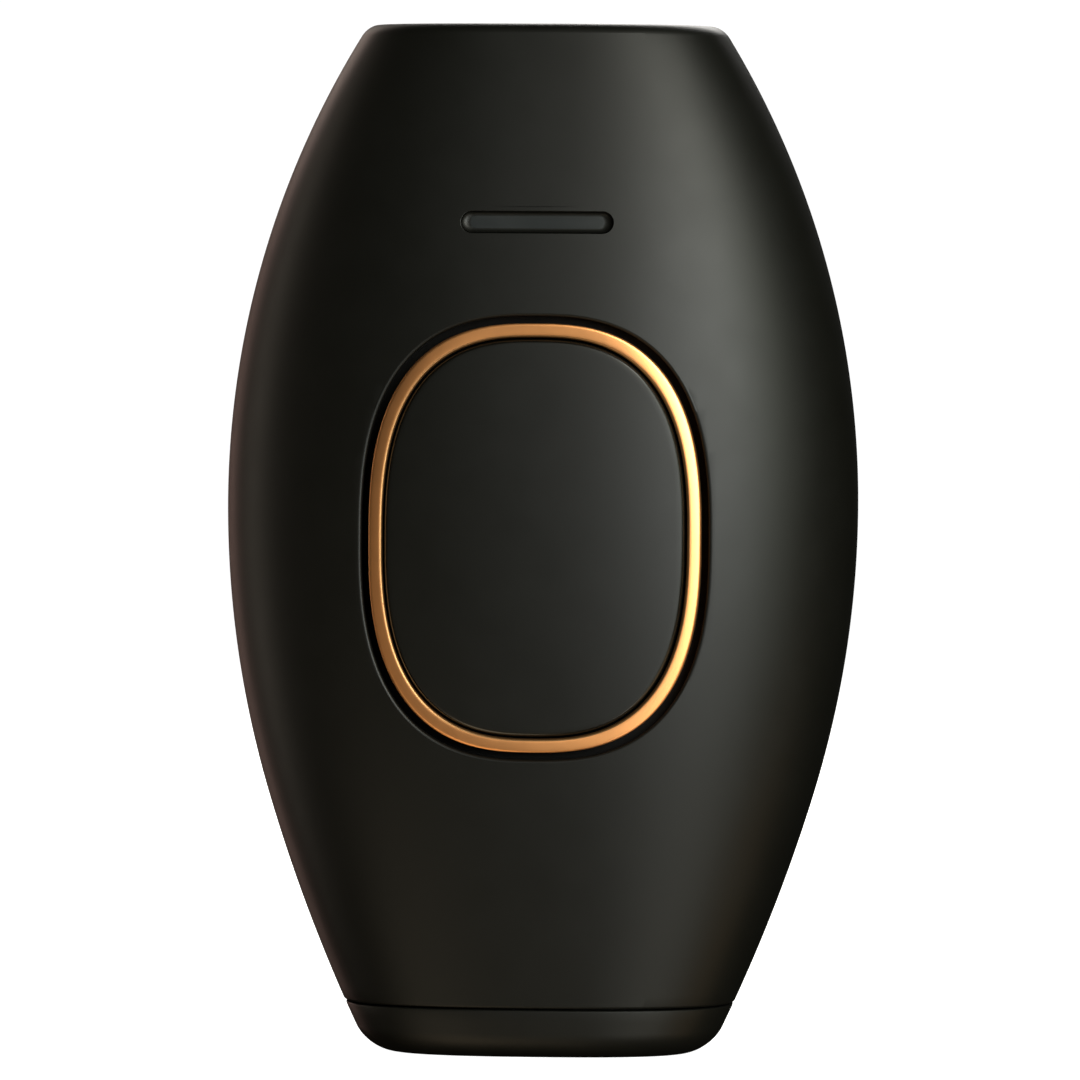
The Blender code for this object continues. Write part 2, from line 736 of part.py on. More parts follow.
def tact_switch(carrier):
    low, high = BELLY_Z - 3.1, BELLY_Z + 3.1
    body = box((-3.1, -16.2, low), (3.1, CONTROL_BOARD_Y[0] - GAP, high))
    bevel(part(body, "tact_switch_body", "black_trim"), 0.3, 1)
    cut(body, cylinder((0, -17, BELLY_Z), (0, -13.7, BELLY_Z), 1.75 + GAP, 20))
    pin = cylinder((0, -17.3, BELLY_Z), (0, -14.9, BELLY_Z), 1.75, 20)
    bevel(part(pin, "tact_switch_plunger", "white_plastic"), 0.25, 2)
    return ride_on(pin, carrier)


# ---------------------------------------------------------------- display
def display_window():
    plate = box((-10.0, -15.0, DISPLAY_Z - 2.2), (10.0, -14.2, DISPLAY_Z + 2.2))
    window = part(plate, "display_window", "smoked_window")
    lens = prism(stadium(SLOT_FLOOR_HALF[0] - 0.2, SLOT_FLOOR_HALF[1] - 0.2, DISPLAY_Z), "Y", -16.9, -14.6)
    add(window, lens)


def display_leds():
    for n in range(LED_COUNT):
        x = (n - (LED_COUNT - 1) / 2) * LED_PITCH
        chip = box((x - 1.0, -13.9, DISPLAY_Z - 0.65), (x + 1.0, CONTROL_BOARD_Y[0] - GAP, DISPLAY_Z + 0.65))
        bevel(part(chip, f"display_led_{n + 1}", "white_plastic"), 0.15, 1)


# ---------------------------------------------------------------- boards and power parts
def control_board():
    board = box((-14.0, CONTROL_BOARD_Y[0], 39.0), (14.0, CONTROL_BOARD_Y[1], 105.0))
    part(board, "control_board", "board_green")
    for x, z in GUIDE_PLACES:
        cut(board, cylinder((x, -14, z), (x, -10, z), 1.6, 12))


def board_connector():
    pins = box((-6.0, CONTROL_BOARD_Y[1] + GAP, 43.0), (6.0, MAIN_BOARD_Y[0] - GAP, 48.0))
    bevel(part(pins, "board_connector", "black_trim"), 0.3, 1)


def main_board():
    half, (low, high) = MAIN_BOARD_HALF_WIDTH, MAIN_BOARD_Z
    board = box((-half, MAIN_BOARD_Y[0], low), (half, MAIN_BOARD_Y[1], high))
    part(board, "main_board", "board_green")
    for x, z in board_posts():
        cut(board, cylinder((x, -10, z), (x, -4, z), 1.0, 10))


def flash_capacitor():
    radius, half = 9.8, 18.5
    can = [(0, half), (radius - 1.2, half), (radius - 0.3, half - 0.4), (radius, half - 1.2), (radius, 2.6 - half)]
    can += [(radius - 0.7, 2.0 - half), (radius, 1.4 - half), (radius, 0.6 - half), (radius - 0.8, -half)]
    can += [(0, -half)]
    centre = (0, MAIN_BOARD_Y[1] + GAP + radius, 38.0)
    part(turned(can, centre, (1, 0, 0), 32), "flash_capacitor", "capacitor_sleeve")


def boost_transformer():
    base = MAIN_BOARD_Y[1] + GAP
    core = box((-14.0, base, 51.0), (3.0, base + 13.0, 65.5))
    block = part(core, "boost_transformer", "ferrite")
    bevel(block, 0.5, 1)
    winding = box((-12.0, base + 3.0, 49.8), (1.0, base + 12.0, 66.7))
    add(block, bevel(winding, 1.5, 2))


def switching_transistor():
    base = MAIN_BOARD_Y[1] + GAP
    body = box((7.5, base, 52.0), (17.5, base + 4.4, 60.0))
    bevel(part(body, "switching_transistor", "black_trim"), 0.3, 1)


def heat_sink():
    """A finned plate on the transistor's back."""
    base = MAIN_BOARD_Y[1] + GAP + 4.4 + GAP
    sink = part(box((6.5, base, 50.5), (18.0, base + 1.6, 61.5)), "heat_sink", "polished_aluminium")
    for n in range(4):
        x = 6.5 + 3.43 * n
        add(sink, box((x, base + 0.8, 50.5), (x + 1.2, base + 7.0, 61.5)))


def trigger_coil():
    base = MAIN_BOARD_Y[1] + GAP
    body = turned(
        [(0, 5), (3.6, 5), (3.6, 4), (3.0, 4), (3.0, -4), (3.6, -4), (3.6, -5), (0, -5)],
        (9.6, base + 3.6, 20.5),
        (1, 0, 0),
        20,
    )
    part(body, "trigger_coil", "ferrite")


# ---------------------------------------------------------------- cooling fan
def fan(carrier):
    low, high = FAN_Y
    frame = box((-FAN_HALF, low, FAN_Z - FAN_HALF), (FAN_HALF, high, FAN_Z + FAN_HALF))
    bevel(part(frame, "fan_frame", "black_trim"), 1.4, 2, 60)
    cut(frame, cylinder((0, low - 1, FAN_Z), (0, high + 1, FAN_Z), FAN_BORE, 40))
    hub = cylinder((0, low, FAN_Z), (0, low + 1.0, FAN_Z), FAN_HUB, 24)
    add(frame, hub)
    for n in range(4):
        angle = math.radians(45 + 90 * n)
        arm = box((FAN_HUB - 1.0, low, FAN_Z - 0.8), (FAN_BORE + 0.6, low + 1.0, FAN_Z + 0.8))
        turn_about_fan(arm, angle)
        add(frame, arm)
    cut(frame, cylinder((0, low - 1, FAN_Z), (0, low + 3, FAN_Z), 1.8 + GAP, 16))
    for x, z in fan_posts():
        cut(frame, cylinder((x, low - 1, z), (x, high + 1, z), 1.2 + GAP, 12))
    sleeve = [(1.8, low + 3.2), (1.8, low), (0.75 + GAP, low), (0.75 + GAP, low + 3.2)]
    part(turned(sleeve, (0, 0, FAN_Z), (0, 1, 0), 16, closed=True), "fan_bearing", "steel")
    rotor(carrier, low, high)


def turn_about_fan(obj, angle):
    """Applies a turn about the fan's axis to an object's mesh."""
    bpy.context.view_layer.update()
    centre = Matrix.Translation(metres((0, 0, FAN_Z)))
    spin = centre @ Matrix.Rotation(angle, 4, "Y") @ centre.inverted()
    obj.data.transform(spin @ obj.matrix_world)
    obj.matrix_world = Matrix.Identity(4)


def rotor(carrier, low, high):
    """A hub cup with pitched blades, and the shaft that turns in the bearing."""
    front = low + 1.0 + GAP
    cup = [(0, high - 0.5), (FAN_HUB - 0.6, high - 0.5), (FAN_HUB, high - 1.1), (FAN_HUB, front)]
    cup += [(FAN_HUB - 1.0, front), (FAN_HUB - 1.0, high - 1.7), (0, high - 1.7)]
    body = part(turned(cup, (0, 0, FAN_Z), (0, 1, 0), 28), "fan_rotor", "black_trim")
    middle = (front + high) / 2
    for n in range(FAN_BLADES):
        blade = box((FAN_HUB - 0.5, middle - 2.9, FAN_Z - 0.4), (FAN_BORE - 0.6, middle + 1.9, FAN_Z + 0.4))
        pitch = Matrix.Rotation(math.radians(38), 4, "X")
        place = Matrix.Translation(metres((0, middle, FAN_Z)))
        blade.data.transform(place @ pitch @ place.inverted() @ blade.matrix_world)
        blade.matrix_world = Matrix.Identity(4)
        turn_about_fan(blade, 2 * math.pi * n / FAN_BLADES)
        add(body, blade)
    ride_on(body, carrier)
    shaft = cylinder((0, low + 0.2, FAN_Z), (0, high - 1.7 - GAP, FAN_Z), 0.75, 12)
    ride_on(part(shaft, "fan_shaft", "steel"), carrier)


# ---------------------------------------------------------------- power inlet
def dc_jack():
    """A barrel jack that opens through the base, with its centre pin."""
    housing = [(4.0, 11.5), (4.0, 0.4), (3.1, 0.4), (3.1, 9.5), (1.6, 9.5), (1.6, 11.5)]
    part(turned(housing, (0, 0, 0), (0, 0, 1), 28, closed=True), "dc_jack_housing", "black_trim")
    pin = [(0, 12.8), (1.2, 12.8), (1.2, 9.0), (1.05, 8.6), (1.05, 2.4), (0.6, 1.8), (0, 1.8)]
    part(turned(pin, (0, 0, 0), (0, 0, 1), 16), "dc_jack_pin", "steel")


# ---------------------------------------------------------------- fasteners and leads
def screw(name, head, tip, radius=SCREW_RADIUS, head_radius=SCREW_HEAD_RADIUS, head_height=SCREW_HEAD):
    """A pan-head screw from its head's outer face to its tip, with a cross recess."""
    head, tip = Vector(head), Vector(tip)
    length = (tip - head).length
    profile = [(0, 0), (head_radius - 0.5, 0), (head_radius, -0.6), (head_radius, -head_height)]
    profile += [(radius, -head_height), (radius, radius - length), (0, -length)]
    made = part(turned(profile, head, head - tip, 14), name, "steel")
    for wide, high in ((0.3, 1.1), (1.1, 0.3)):
        recess = box((-wide, -high, -0.7), (wide, high, 0.5))
        recess.rotation_mode = "QUATERNION"
        recess.rotation_quaternion = made.rotation_quaternion
        recess.location = made.location + (head - tip).normalized() * MM * -0.1
        cut(made, recess)
    return made


def fasteners():
    for n, (x, z) in enumerate(CASING_SCREWS):
        screw(f"casing_screw_{n + 1}", (x, 6.0 - GAP + SCREW_HEAD + 0.6, z), (x, -8.0, z))
    for side, name in ((-1, "cap_screw_left"), (1, "cap_screw_right")):
        x = side * CAP_SCREW_X
        screw(name, (x, 0, 7.4 - GAP - SCREW_HEAD), (x, 0, 15.6))
    for n in (0, 3):
        x, z = fan_posts()[n]
        screw(f"fan_screw_{1 + n // 3}", (x, FAN_Y[0] - GAP - 1.0, z), (x, 15.2, z), 0.7, 1.5, 1.0)
    for n in (0, 3):
        x, z = board_posts()[n]
        head = (x, MAIN_BOARD_Y[0] - GAP - 1.0, z)
        screw(f"board_screw_{1 + n // 3}", head, (x, -0.6, z), 0.6, 1.5, 1.0)


def leads():
    board = MAIN_BOARD_Y[1] + GAP
    for side, name, finish in ((-1, "lamp_lead_left", "red_lead"), (1, "lamp_lead_right", "black_lead")):
        route = [(24.6, 0, 113.2), (24.7, -0.3, 110.8), (22.6, -1.2, 106.2), (19.0, -2.2, 102.4)]
        route += [(16.9, -2.4, 98.0), (16.6, -2.4, 88.0), (16.2, -2.4, 75.0), (15.4, board + 2.6, 68.4)]
        route += [(15.3, board + 0.9, 66.0)]
        wire([(side * x, y, z) for x, y, z in route], 0.8, finish, name)
    wire([(13.4, 3.6, 70.4), (10.5, 2.0, 68.6), (6.0, board + 1.6, 66.0)], 0.6, "black_lead", "fan_lead")
    for side, name, finish in ((-1, "dc_lead_negative", "black_lead"), (1, "dc_lead_positive", "red_lead")):
        end = -6.4 if side < 0 else 2.0
        route = [(side * 2.6, 0, 12.6), ((side * 2.6 + end) / 2, -1.0, 17.0), (end, board + 1.0, 22.0)]
        wire(route, 0.7, finish, name)


def build():
    front_shell()
    rear_shell()
    bottom_cap()
    flash_head_frame()
    skin_contacts()
    filter_window()
    window_gasket()
    reflector()
    flash_lamp()
    lamp_holders()
    thermal_cutout()
    accent_ring()
    button_bezel()
    button_cap(empty("button_axis", (0, front_y(0, BELLY_Z), BELLY_Z)))
    button_springs()
    tact_switch(empty("switch_axis", (0, -17.3, BELLY_Z)))
    display_window()
    display_leds()
    control_board()
    board_connector()
    main_board()
    flash_capacitor()
    boost_transformer()
    switching_transistor()
    heat_sink()
    trigger_coil()
    fan(empty("fan_axis", (0, FAN_Y[0], FAN_Z)))
    dc_jack()
    fasteners()
    leads()


clear_scene()
HANDSET = collection("ipl_handset")
CUTTERS = collection("cutters")
ROOT = bpy.data.objects.new("handset_origin", None)
HANDSET.objects.link(ROOT)
CORE = core()
build()
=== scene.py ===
"""An IPL hair remover: a matt black barrel-shaped handset with a copper-gold ring round its flash button.

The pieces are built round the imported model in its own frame. +Z runs up from the flat base to the flash
window, and -Y is the front. Dimensions are in millimetres and become metres through MM.
"""

import functools
import json
import math

import bmesh
import bpy
import numpy as np
from mathutils import Matrix, Vector

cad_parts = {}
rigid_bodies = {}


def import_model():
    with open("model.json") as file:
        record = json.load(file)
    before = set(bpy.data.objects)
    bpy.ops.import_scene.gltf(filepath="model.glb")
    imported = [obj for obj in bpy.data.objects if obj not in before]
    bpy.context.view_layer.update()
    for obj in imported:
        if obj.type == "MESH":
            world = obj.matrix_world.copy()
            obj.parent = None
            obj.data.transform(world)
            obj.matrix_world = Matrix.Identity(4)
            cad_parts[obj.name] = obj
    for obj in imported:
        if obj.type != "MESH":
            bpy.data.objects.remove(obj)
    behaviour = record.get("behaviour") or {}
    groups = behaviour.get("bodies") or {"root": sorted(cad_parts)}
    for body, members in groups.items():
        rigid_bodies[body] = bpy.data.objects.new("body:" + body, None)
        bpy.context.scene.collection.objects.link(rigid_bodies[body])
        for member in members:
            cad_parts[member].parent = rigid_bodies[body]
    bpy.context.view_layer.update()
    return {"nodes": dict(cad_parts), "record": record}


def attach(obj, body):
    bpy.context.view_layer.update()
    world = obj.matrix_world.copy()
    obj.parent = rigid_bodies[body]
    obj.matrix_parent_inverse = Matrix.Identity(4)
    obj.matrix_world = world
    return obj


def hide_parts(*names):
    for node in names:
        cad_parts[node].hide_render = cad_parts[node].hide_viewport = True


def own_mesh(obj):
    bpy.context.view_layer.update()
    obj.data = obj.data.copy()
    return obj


MM = 0.001

# Casing: overall form
HEIGHT = 125.0
HALF_WIDTH = 38.5
HALF_DEPTH = 21.45
WAIST_Z = 66.8  # the widest height
BELLY_Z = 62.9  # the deepest height, and that of the button's boss
TOP_HALF_WIDTH = 21.6
TOP_HALF_DEPTH = 12.5
SEAM_Z = 6.1  # joint between the shells and the bottom cap
SEAM_GAP = 0.1  # half the gap there
SEAM_SOFTENING = [(0.0, 0.28), (0.03, 0.14), (0.12, 0.04)]  # (distance from the edge, inset) of each edge
SEAM_EDGE = 0.3  # where that softening ends
SEAM_HALF_DEPTH = 15.5
LOWER_SIDE_RADIUS = 122.5
TAIL_START = 35.4  # how far below the waist the side starts to straighten
TAIL_RADIUS = 205.0
WALL = 2.0
RIM_HEIGHT = 1.3  # rounding of the shells' top rim
RIM_INSET = 1.1
RIM_CHAMFER = 0.25
FOOT_RADIUS = 3.1
TONGUE = (WALL + 0.3, WALL + 1.5)  # insets of the cap's tongue inside the shells
TONGUE_RISE = 3.0
CAP_FLOOR_Z = 2.0
WAIST_EXPONENT = 2.3  # squareness of the cross-section at the waist
END_EXPONENT_RISE = 0.4
FLAT_SOFTENING = 0.15  # keeps the section curved where a pure superellipse goes flat
PARTING_GAP = 0.16
EDGE_CHAMFER = 0.14
CASING_COLUMNS = 96
CASING_ROWS = 90
SECTION_STEPS = 192
CUT_DEPTH = 3.4  # how far a cutter goes below the skin

# Button group
RING_Z = 63.08
RING_HALF_WIDTH = 20.0
RING_HALF_HEIGHT = 25.75
RING_WIDTH = 1.7
RING_TOP_LEAN = 0.28
RING_SIDE_LEAN = 0.05
OUTLINE_EXPONENT = 2.65
OUTLINE_STEPS = 192
GROOVE_WIDTH = 0.88
OPENING_LIP = 0.45
BUTTON_GAP = 0.22
BUTTON_EDGE = 0.58
BUTTON_TOP = 0.12  # depth of the button's face below the skin
BUTTON_UNDERSIDE = 1.8
BUTTON_SKIRT = 3.0
BUTTON_RIM = 1.3  # thickness of the skirt
FACE_SCALES = (0.03, 0.12, 0.24, 0.36, 0.48, 0.6, 0.72, 0.8)
PIN_RADIUS = 1.1
PIN_HOLE_RADIUS = 1.4
PIN_Y = (-19.0, -13.9)
BOSS_Y = (-20.4, -17.6)
BUTTON_BOSS_RADIUS = 2.5
FLANGE_DEPTH = (2.5, 3.7)
TUB_FLOOR_Y = (-14.6, -13.2)
TUB_CUT_Y = (-16.0, -12.0)
TUB_WINDOW = 4.0  # half the side of the square hole over the switch
RING_BASE_DEPTH = 2.2
GUIDE_PLACES = [(sx * 10.5, BELLY_Z + sz * 14.5) for sz in (1, -1) for sx in (-1, 1)]
SPRING_RADIUS = 1.9
SPRING_TURNS = 3.5
SPRING_WIRE = 0.22
SPRING_SEAT_Y = -15.1
SPRING_TOP_DEPTH = 2.3

# Display slot
DISPLAY_Z = 100.96
SLOT_HALF = (9.16, 1.31)
DISH = (1.0, 0.5)  # how far the lens's sloping edge runs in, along and across the slot
SLOT_LIP = 0.1
LENS_GAP = 0.08
LENS_RIM = 0.14
LENS_BACK = 2.9
LENS_DEPTH = 0.78
LENS_PLATE_HALF = (10.0, 2.2)
LENS_PLATE_Y = (-15.0, -14.2)

# Flash head
COLLAR_TOP_Z = 124.7
APERTURE_HALF = (15.5, 5.5)
GLASS_HALF = (16.6, 6.6)
GLASS_Z = (121.9, 123.4)
GLASS_CHAMFER = 0.25
COLLAR_GAP = 0.18
COLLAR_ROUNDING = 0.45
COLLAR_FOOT_Z = (117.4, 119.0)
COLLAR_CUT_Z = 116.0
CONTACT_X = 17.35
CONTACT_HALF = (0.55, 3.45)
CONTACT_SLOT_HALF = (0.7, 3.6)

# Rear and base
VENT_LIP = 0.3
GRILLE_PITCH = 3.6
GRILLE_HALF_WIDTH = 0.9
EXHAUST_Z = 16.0  # the lowest of the four level slots
EXHAUST_PITCH = 3.4
EXHAUST_HALF = (8.0, 0.8)
RIB_Z = (10.0, 116.0)
FAN_Z = 84.0
FAN_Y = (5.0, 12.5)
FAN_HUB = 6.6
FAN_TIP = 13.2
FAN_BLADES = 7
BLADE_MIDDLE_Y = 9.3
BLADE_PITCH = 2.2  # how far each end of a blade lies before or behind its middle
BLADE_CAMBER = 0.5
BLADE_HALF_THICKNESS = 0.3
CASING_SCREWS = [(-23.0, 97.0), (23.0, 97.0), (-25.0, 36.0), (25.0, 36.0)]
CAP_SCREW_X = 13.5
BOSS_RADIUS = 3.2
BOSS_CORE_INSET = 1.0  # a boss stops this far inside the outer skin
WELL_RADIUS = 2.5
WELL_SEAT_Y = 6.0
SCREW_RADIUS = 1.1
SCREW_ROOT_RADIUS = 0.82
SCREW_PITCH = 0.8
SCREW_HEAD_RADIUS = 2.1
SCREW_HEAD_HEIGHT = 1.6
SCREW_HOLE_GAP = 0.3
CROSS_HALF = (0.28, 1.15)  # half the width and half the reach of one arm of the recess
CROSS_DEPTH = 1.0
CASING_SCREW_Y = (7.9, -8.0)  # head and tip
CAP_SCREW_Z = (5.5, 15.6)

# Camera
CAMERA_AIM = (-0.33, 0.0, 62.35)
CAMERA_DISTANCE = 1060.0
CAMERA_AZIMUTH = 3.0
CAMERA_ELEVATION = 1.5
CAMERA_ROLL = 0.38
CAMERA_LENS = 289.2

# Light: (distance, (width, height)) of the two kinds of lamp, and what they point at
SOFTBOX = (900, (420, 420))
STRIP = (700, (150, 700))
LIGHT_AIM = (0.0, 0.0, HEIGHT / 2)
FLOOR_RADIUS = 4000.0
FLOOR_THICKNESS = 20.0

# Colours of the coat that covers the casing and the button
COAT_DARK = (0.0029, 0.0029, 0.0021)
COAT_LIGHT = (0.0035, 0.0035, 0.0026)


# ---------------------------------------------------------------- materials
class Nodes:
    """A new material's node tree, with short ways to add and join nodes."""

    def __init__(self, name):
        self.material = bpy.data.materials.new(name)
        self.material.use_nodes = True
        self.tree = self.material.node_tree
        self.shader = self.tree.nodes["Principled BSDF"]
        self.place = self.add("ShaderNodeTexCoord").outputs["Object"]

    def add(self, kind):
        return self.tree.nodes.new(kind)

    def join(self, output, socket):
        self.tree.links.new(output, socket)

    def noise(self, size_mm, detail=2.0, roughness=0.5):
        """Noise whose features are about this size."""
        node = self.add("ShaderNodeTexNoise")
        node.inputs["Scale"].default_value = 1.0 / (size_mm * MM)
        node.inputs["Detail"].default_value = detail
        node.inputs["Roughness"].default_value = roughness
        self.join(self.place, node.inputs["Vector"])
        return node.outputs["Fac"]

    def spread(self, value, low, high):
        """Noise, most of which lies between 0.3 and 0.7, stretched over a range."""
        node = self.add("ShaderNodeMapRange")
        node.inputs["From Min"].default_value = 0.3
        node.inputs["From Max"].default_value = 0.7
        node.inputs["To Min"].default_value = low
        node.inputs["To Max"].default_value = high
        self.join(value, node.inputs["Value"])
        return node.outputs["Result"]

    def blend(self, value, first, second):
        """A colour between two, by a value from 0 to 1."""
        node = self.add("ShaderNodeValToRGB")
        node.color_ramp.elements[0].color = (*first, 1.0)
        node.color_ramp.elements[1].color = (*second, 1.0)
        self.join(value, node.inputs["Fac"])
        return node.outputs["Color"]

    def bump(self, height, depth_mm):
        node = self.add("ShaderNodeBump")
        node.inputs["Distance"].default_value = depth_mm * MM
        node.inputs["Strength"].default_value = 1.0
        self.join(height, node.inputs["Height"])
        self.join(node.outputs["Normal"], self.shader.inputs["Normal"])

    def set(self, **values):
        for key, value in values.items():
            socket = self.shader.inputs[key.replace("_", " ")]
            socket.default_value = (*value, 1.0) if isinstance(value, tuple) else value


def moulded(name, dark, light, roughness, grain_mm, grain_depth, spread=0.05, specular=0.5):
    """Moulded plastic or a soft-touch coat: fine grain, and a slow change of sheen."""
    made = Nodes(name)
    made.join(made.blend(made.noise(9.0, 3.0), dark, light), made.shader.inputs["Base Color"])
    sheen = made.spread(made.noise(5.0, 4.0), roughness - spread, roughness + spread)
    made.join(sheen, made.shader.inputs["Roughness"])
    made.bump(made.noise(grain_mm, 3.0, 0.6), grain_depth)
    made.set(Specular_IOR_Level=specular)
    return made.material


def metal(name, first, second, roughness, grain_mm, grain_depth, spread=0.04):
    """Bare or plated metal: two close tones, a slow change of sheen, and a fine grain."""
    made = Nodes(name)
    made.join(made.blend(made.noise(6.0, 3.0), first, second), made.shader.inputs["Base Color"])
    sheen = made.spread(made.noise(1.5, 4.0), roughness - spread, roughness + spread)
    made.join(sheen, made.shader.inputs["Roughness"])
    made.bump(made.noise(grain_mm, 2.0), grain_depth)
    made.set(Metallic=1.0)
    return made.material


def glass(name, colour, roughness, ior=1.5):
    """Clear or tinted glass that lets the lamps' light through to what is behind it."""
    made = Nodes(name)
    made.join(made.spread(made.noise(3.0), roughness, roughness + 0.03), made.shader.inputs["Roughness"])
    made.bump(made.noise(6.0, 1.0), 0.002)
    made.set(Base_Color=colour, Transmission_Weight=1.0, IOR=ior)
    clear = made.add("ShaderNodeBsdfTransparent")
    clear.inputs["Color"].default_value = (*colour, 1.0)
    choice = made.add("ShaderNodeMixShader")
    made.join(made.add("ShaderNodeLightPath").outputs["Is Shadow Ray"], choice.inputs[0])
    made.join(made.shader.outputs["BSDF"], choice.inputs[1])
    made.join(clear.outputs["BSDF"], choice.inputs[2])
    made.join(choice.outputs["Shader"], made.tree.nodes["Material Output"].inputs["Surface"])
    return made.material


def circuit_board(name):
    """Green solder mask over tracks, with fine glass weave."""
    made = Nodes(name)
    tracks = made.add("ShaderNodeTexBrick")
    tracks.inputs["Scale"].default_value = 90.0
    tracks.inputs["Mortar Size"].default_value = 0.03
    tracks.inputs["Color1"].default_value = (0.01, 0.10, 0.045, 1.0)
    tracks.inputs["Color2"].default_value = (0.012, 0.13, 0.055, 1.0)
    tracks.inputs["Mortar"].default_value = (0.03, 0.22, 0.09, 1.0)
    upright = made.add("ShaderNodeMapping")
    upright.inputs["Rotation"].default_value = (math.pi / 2, 0.0, 0.0)
    made.join(made.place, upright.inputs["Vector"])
    made.join(upright.outputs["Vector"], tracks.inputs["Vector"])
    made.join(tracks.outputs["Color"], made.shader.inputs["Base Color"])
    made.join(made.spread(made.noise(2.0), 0.3, 0.42), made.shader.inputs["Roughness"])
    made.bump(tracks.outputs["Fac"], 0.03)
    return made.material


def coat(name, roughness, grain_depth, spread, specular):
    """The soft-touch coat, at one gloss."""
    return moulded(name, COAT_DARK, COAT_LIGHT, roughness, 0.35, grain_depth, spread, specular)


def dark_materials():
    smoke = ((0.013, 0.015, 0.016), (0.016, 0.018, 0.019))
    black = ((0.002, 0.002, 0.002), (0.003, 0.003, 0.003))
    trim = ((0.004, 0.004, 0.004), (0.006, 0.006, 0.006))
    sleeve = ((0.012, 0.018, 0.06), (0.018, 0.026, 0.08))
    core = ((0.05, 0.05, 0.055), (0.075, 0.075, 0.08))
    cover = ((0.012, 0.012, 0.012), (0.018, 0.018, 0.018))
    return {
        "soft_touch_black": coat("soft_touch_black", 0.45, 0.004, 0.015, 0.31),
        "soft_touch_button": coat("soft_touch_button", 0.45, 0.004, 0.015, 0.31),
        "burnished_edge": coat("burnished_edge", 0.24, 0.002, 0.02, 0.8),
        "matt_black": moulded("matt_black", *black, 0.8, 0.5, 0.003, 0.05, 0.15),
        "black_trim": moulded("black_trim", *trim, 0.4, 0.5, 0.003),
        "smoked_window": moulded("smoked_window", *smoke, 0.36, 0.9, 0.002, 0.03, 0.38),
        "capacitor_sleeve": moulded("capacitor_sleeve", *sleeve, 0.28, 1.2, 0.006),
        "ferrite": moulded("ferrite", *core, 0.6, 0.3, 0.02),
        "black_lead": moulded("black_lead", *cover, 0.4, 0.5, 0.004),
    }


def light_materials():
    ceramic = ((0.74, 0.73, 0.69), (0.82, 0.81, 0.77))
    white = ((0.64, 0.64, 0.61), (0.72, 0.72, 0.69))
    seal = ((0.42, 0.07, 0.045), (0.5, 0.09, 0.055))
    red = ((0.40, 0.015, 0.012), (0.5, 0.02, 0.018))
    return {
        "ceramic": moulded("ceramic", *ceramic, 0.5, 0.4, 0.01),
        "silicone": moulded("silicone", *seal, 0.55, 0.5, 0.006),
        "white_plastic": moulded("white_plastic", *white, 0.35, 0.5, 0.003),
        "red_lead": moulded("red_lead", *red, 0.4, 0.5, 0.004),
        "board_green": circuit_board("board_green"),
        "filter_glass": glass("filter_glass", (0.62, 0.10, 0.03), 0.02),
        "quartz": glass("quartz", (0.97, 0.98, 1.0), 0.01, 1.46),
    }


def metals():
    plating = ((0.98, 0.435, 0.16), (1.0, 0.45, 0.17))
    # The bead's tones: a darker copy of the plating, painted shade that dims the ring's rounded bead
    bead = ((0.42, 0.22, 0.09), (0.44, 0.23, 0.1))
    aluminium = ((0.86, 0.86, 0.87), (0.9, 0.9, 0.91))
    steel = ((0.52, 0.52, 0.53), (0.6, 0.6, 0.61))
    return {
        "copper_gold": metal("copper_gold", *plating, 0.4, 0.3, 0.0006, 0.01),
        "copper_gold_shaded_bead": metal("copper_gold_shaded_bead", *bead, 0.44, 0.3, 0.0003, 0.01),
        "polished_aluminium": metal("polished_aluminium", *aluminium, 0.12, 0.5, 0.001),
        "steel": metal("steel", *steel, 0.26, 0.25, 0.002),
    }


# ---------------------------------------------------------------- scene helpers
def piece(obj, name, body, finishes, nodes):
    """Names a piece, gives it its materials, ties it to its body, and hides the nodes it stands for."""
    obj.name = name
    obj.data.name = name
    parts = [face.material_index for face in obj.data.polygons]
    obj.data.materials.clear()
    for finish in finishes:
        obj.data.materials.append(FINISHES[finish])
    obj.data.polygons.foreach_set("material_index", parts)
    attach(obj, body)
    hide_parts(*nodes)


def smooth(obj, angle=40):
    obj.data.shade_smooth()
    obj.data.set_sharp_from_angle(angle=math.radians(angle))
    return obj


def link(mesh):
    """An object in the scene that holds a bmesh."""
    bmesh.ops.recalc_face_normals(mesh, faces=mesh.faces)
    data = bpy.data.meshes.new("shape")
    mesh.to_mesh(data)
    mesh.free()
    made = bpy.data.objects.new("shape", data)
    bpy.context.scene.collection.objects.link(made)
    return made


def loft(loops, cyclic=False):
    """A skin over a row of closed loops of points in mm, with its ends filled unless it is cyclic."""
    mesh = bmesh.new()
    rows = [[mesh.verts.new(Vector(p) * MM) for p in loop] for loop in loops]
    pairs = list(zip(rows, rows[1:]))
    if cyclic:
        pairs.append((rows[-1], rows[0]))
    for here, there in pairs:
        for n in range(len(here)):
            after = (n + 1) % len(here)
            mesh.faces.new((here[n], here[after], there[after], there[n]))
    if not cyclic:
        mesh.faces.new(rows[0][::-1])
        mesh.faces.new(rows[-1])
    return link(mesh)


def ring_points(radius, place, axis, height, steps):
    """A circle round an axis through a place, at a height along it."""
    turn = Vector(axis).to_track_quat("Z", "Y")
    points = []
    for n in range(steps):
        angle = 2 * math.pi * n / steps
        spoke = Vector((radius * math.cos(angle), radius * math.sin(angle), height))
        points.append(Vector(place) + turn @ spoke)
    return points


def turned(profile, place, axis, steps=48, closed=False):
    """A profile of (radius, height) points turned round an axis. A radius of 0 becomes a flat end."""
    ends = [(max(radius, 0.02), height) for radius, height in profile]
    return loft([ring_points(radius, place, axis, height, steps) for radius, height in ends], cyclic=closed)


def joined(objects):
    """One object that holds the meshes of several."""
    mesh = bmesh.new()
    for obj in objects:
        mesh.from_mesh(obj.data)
        bpy.data.objects.remove(obj)
    return link(mesh)


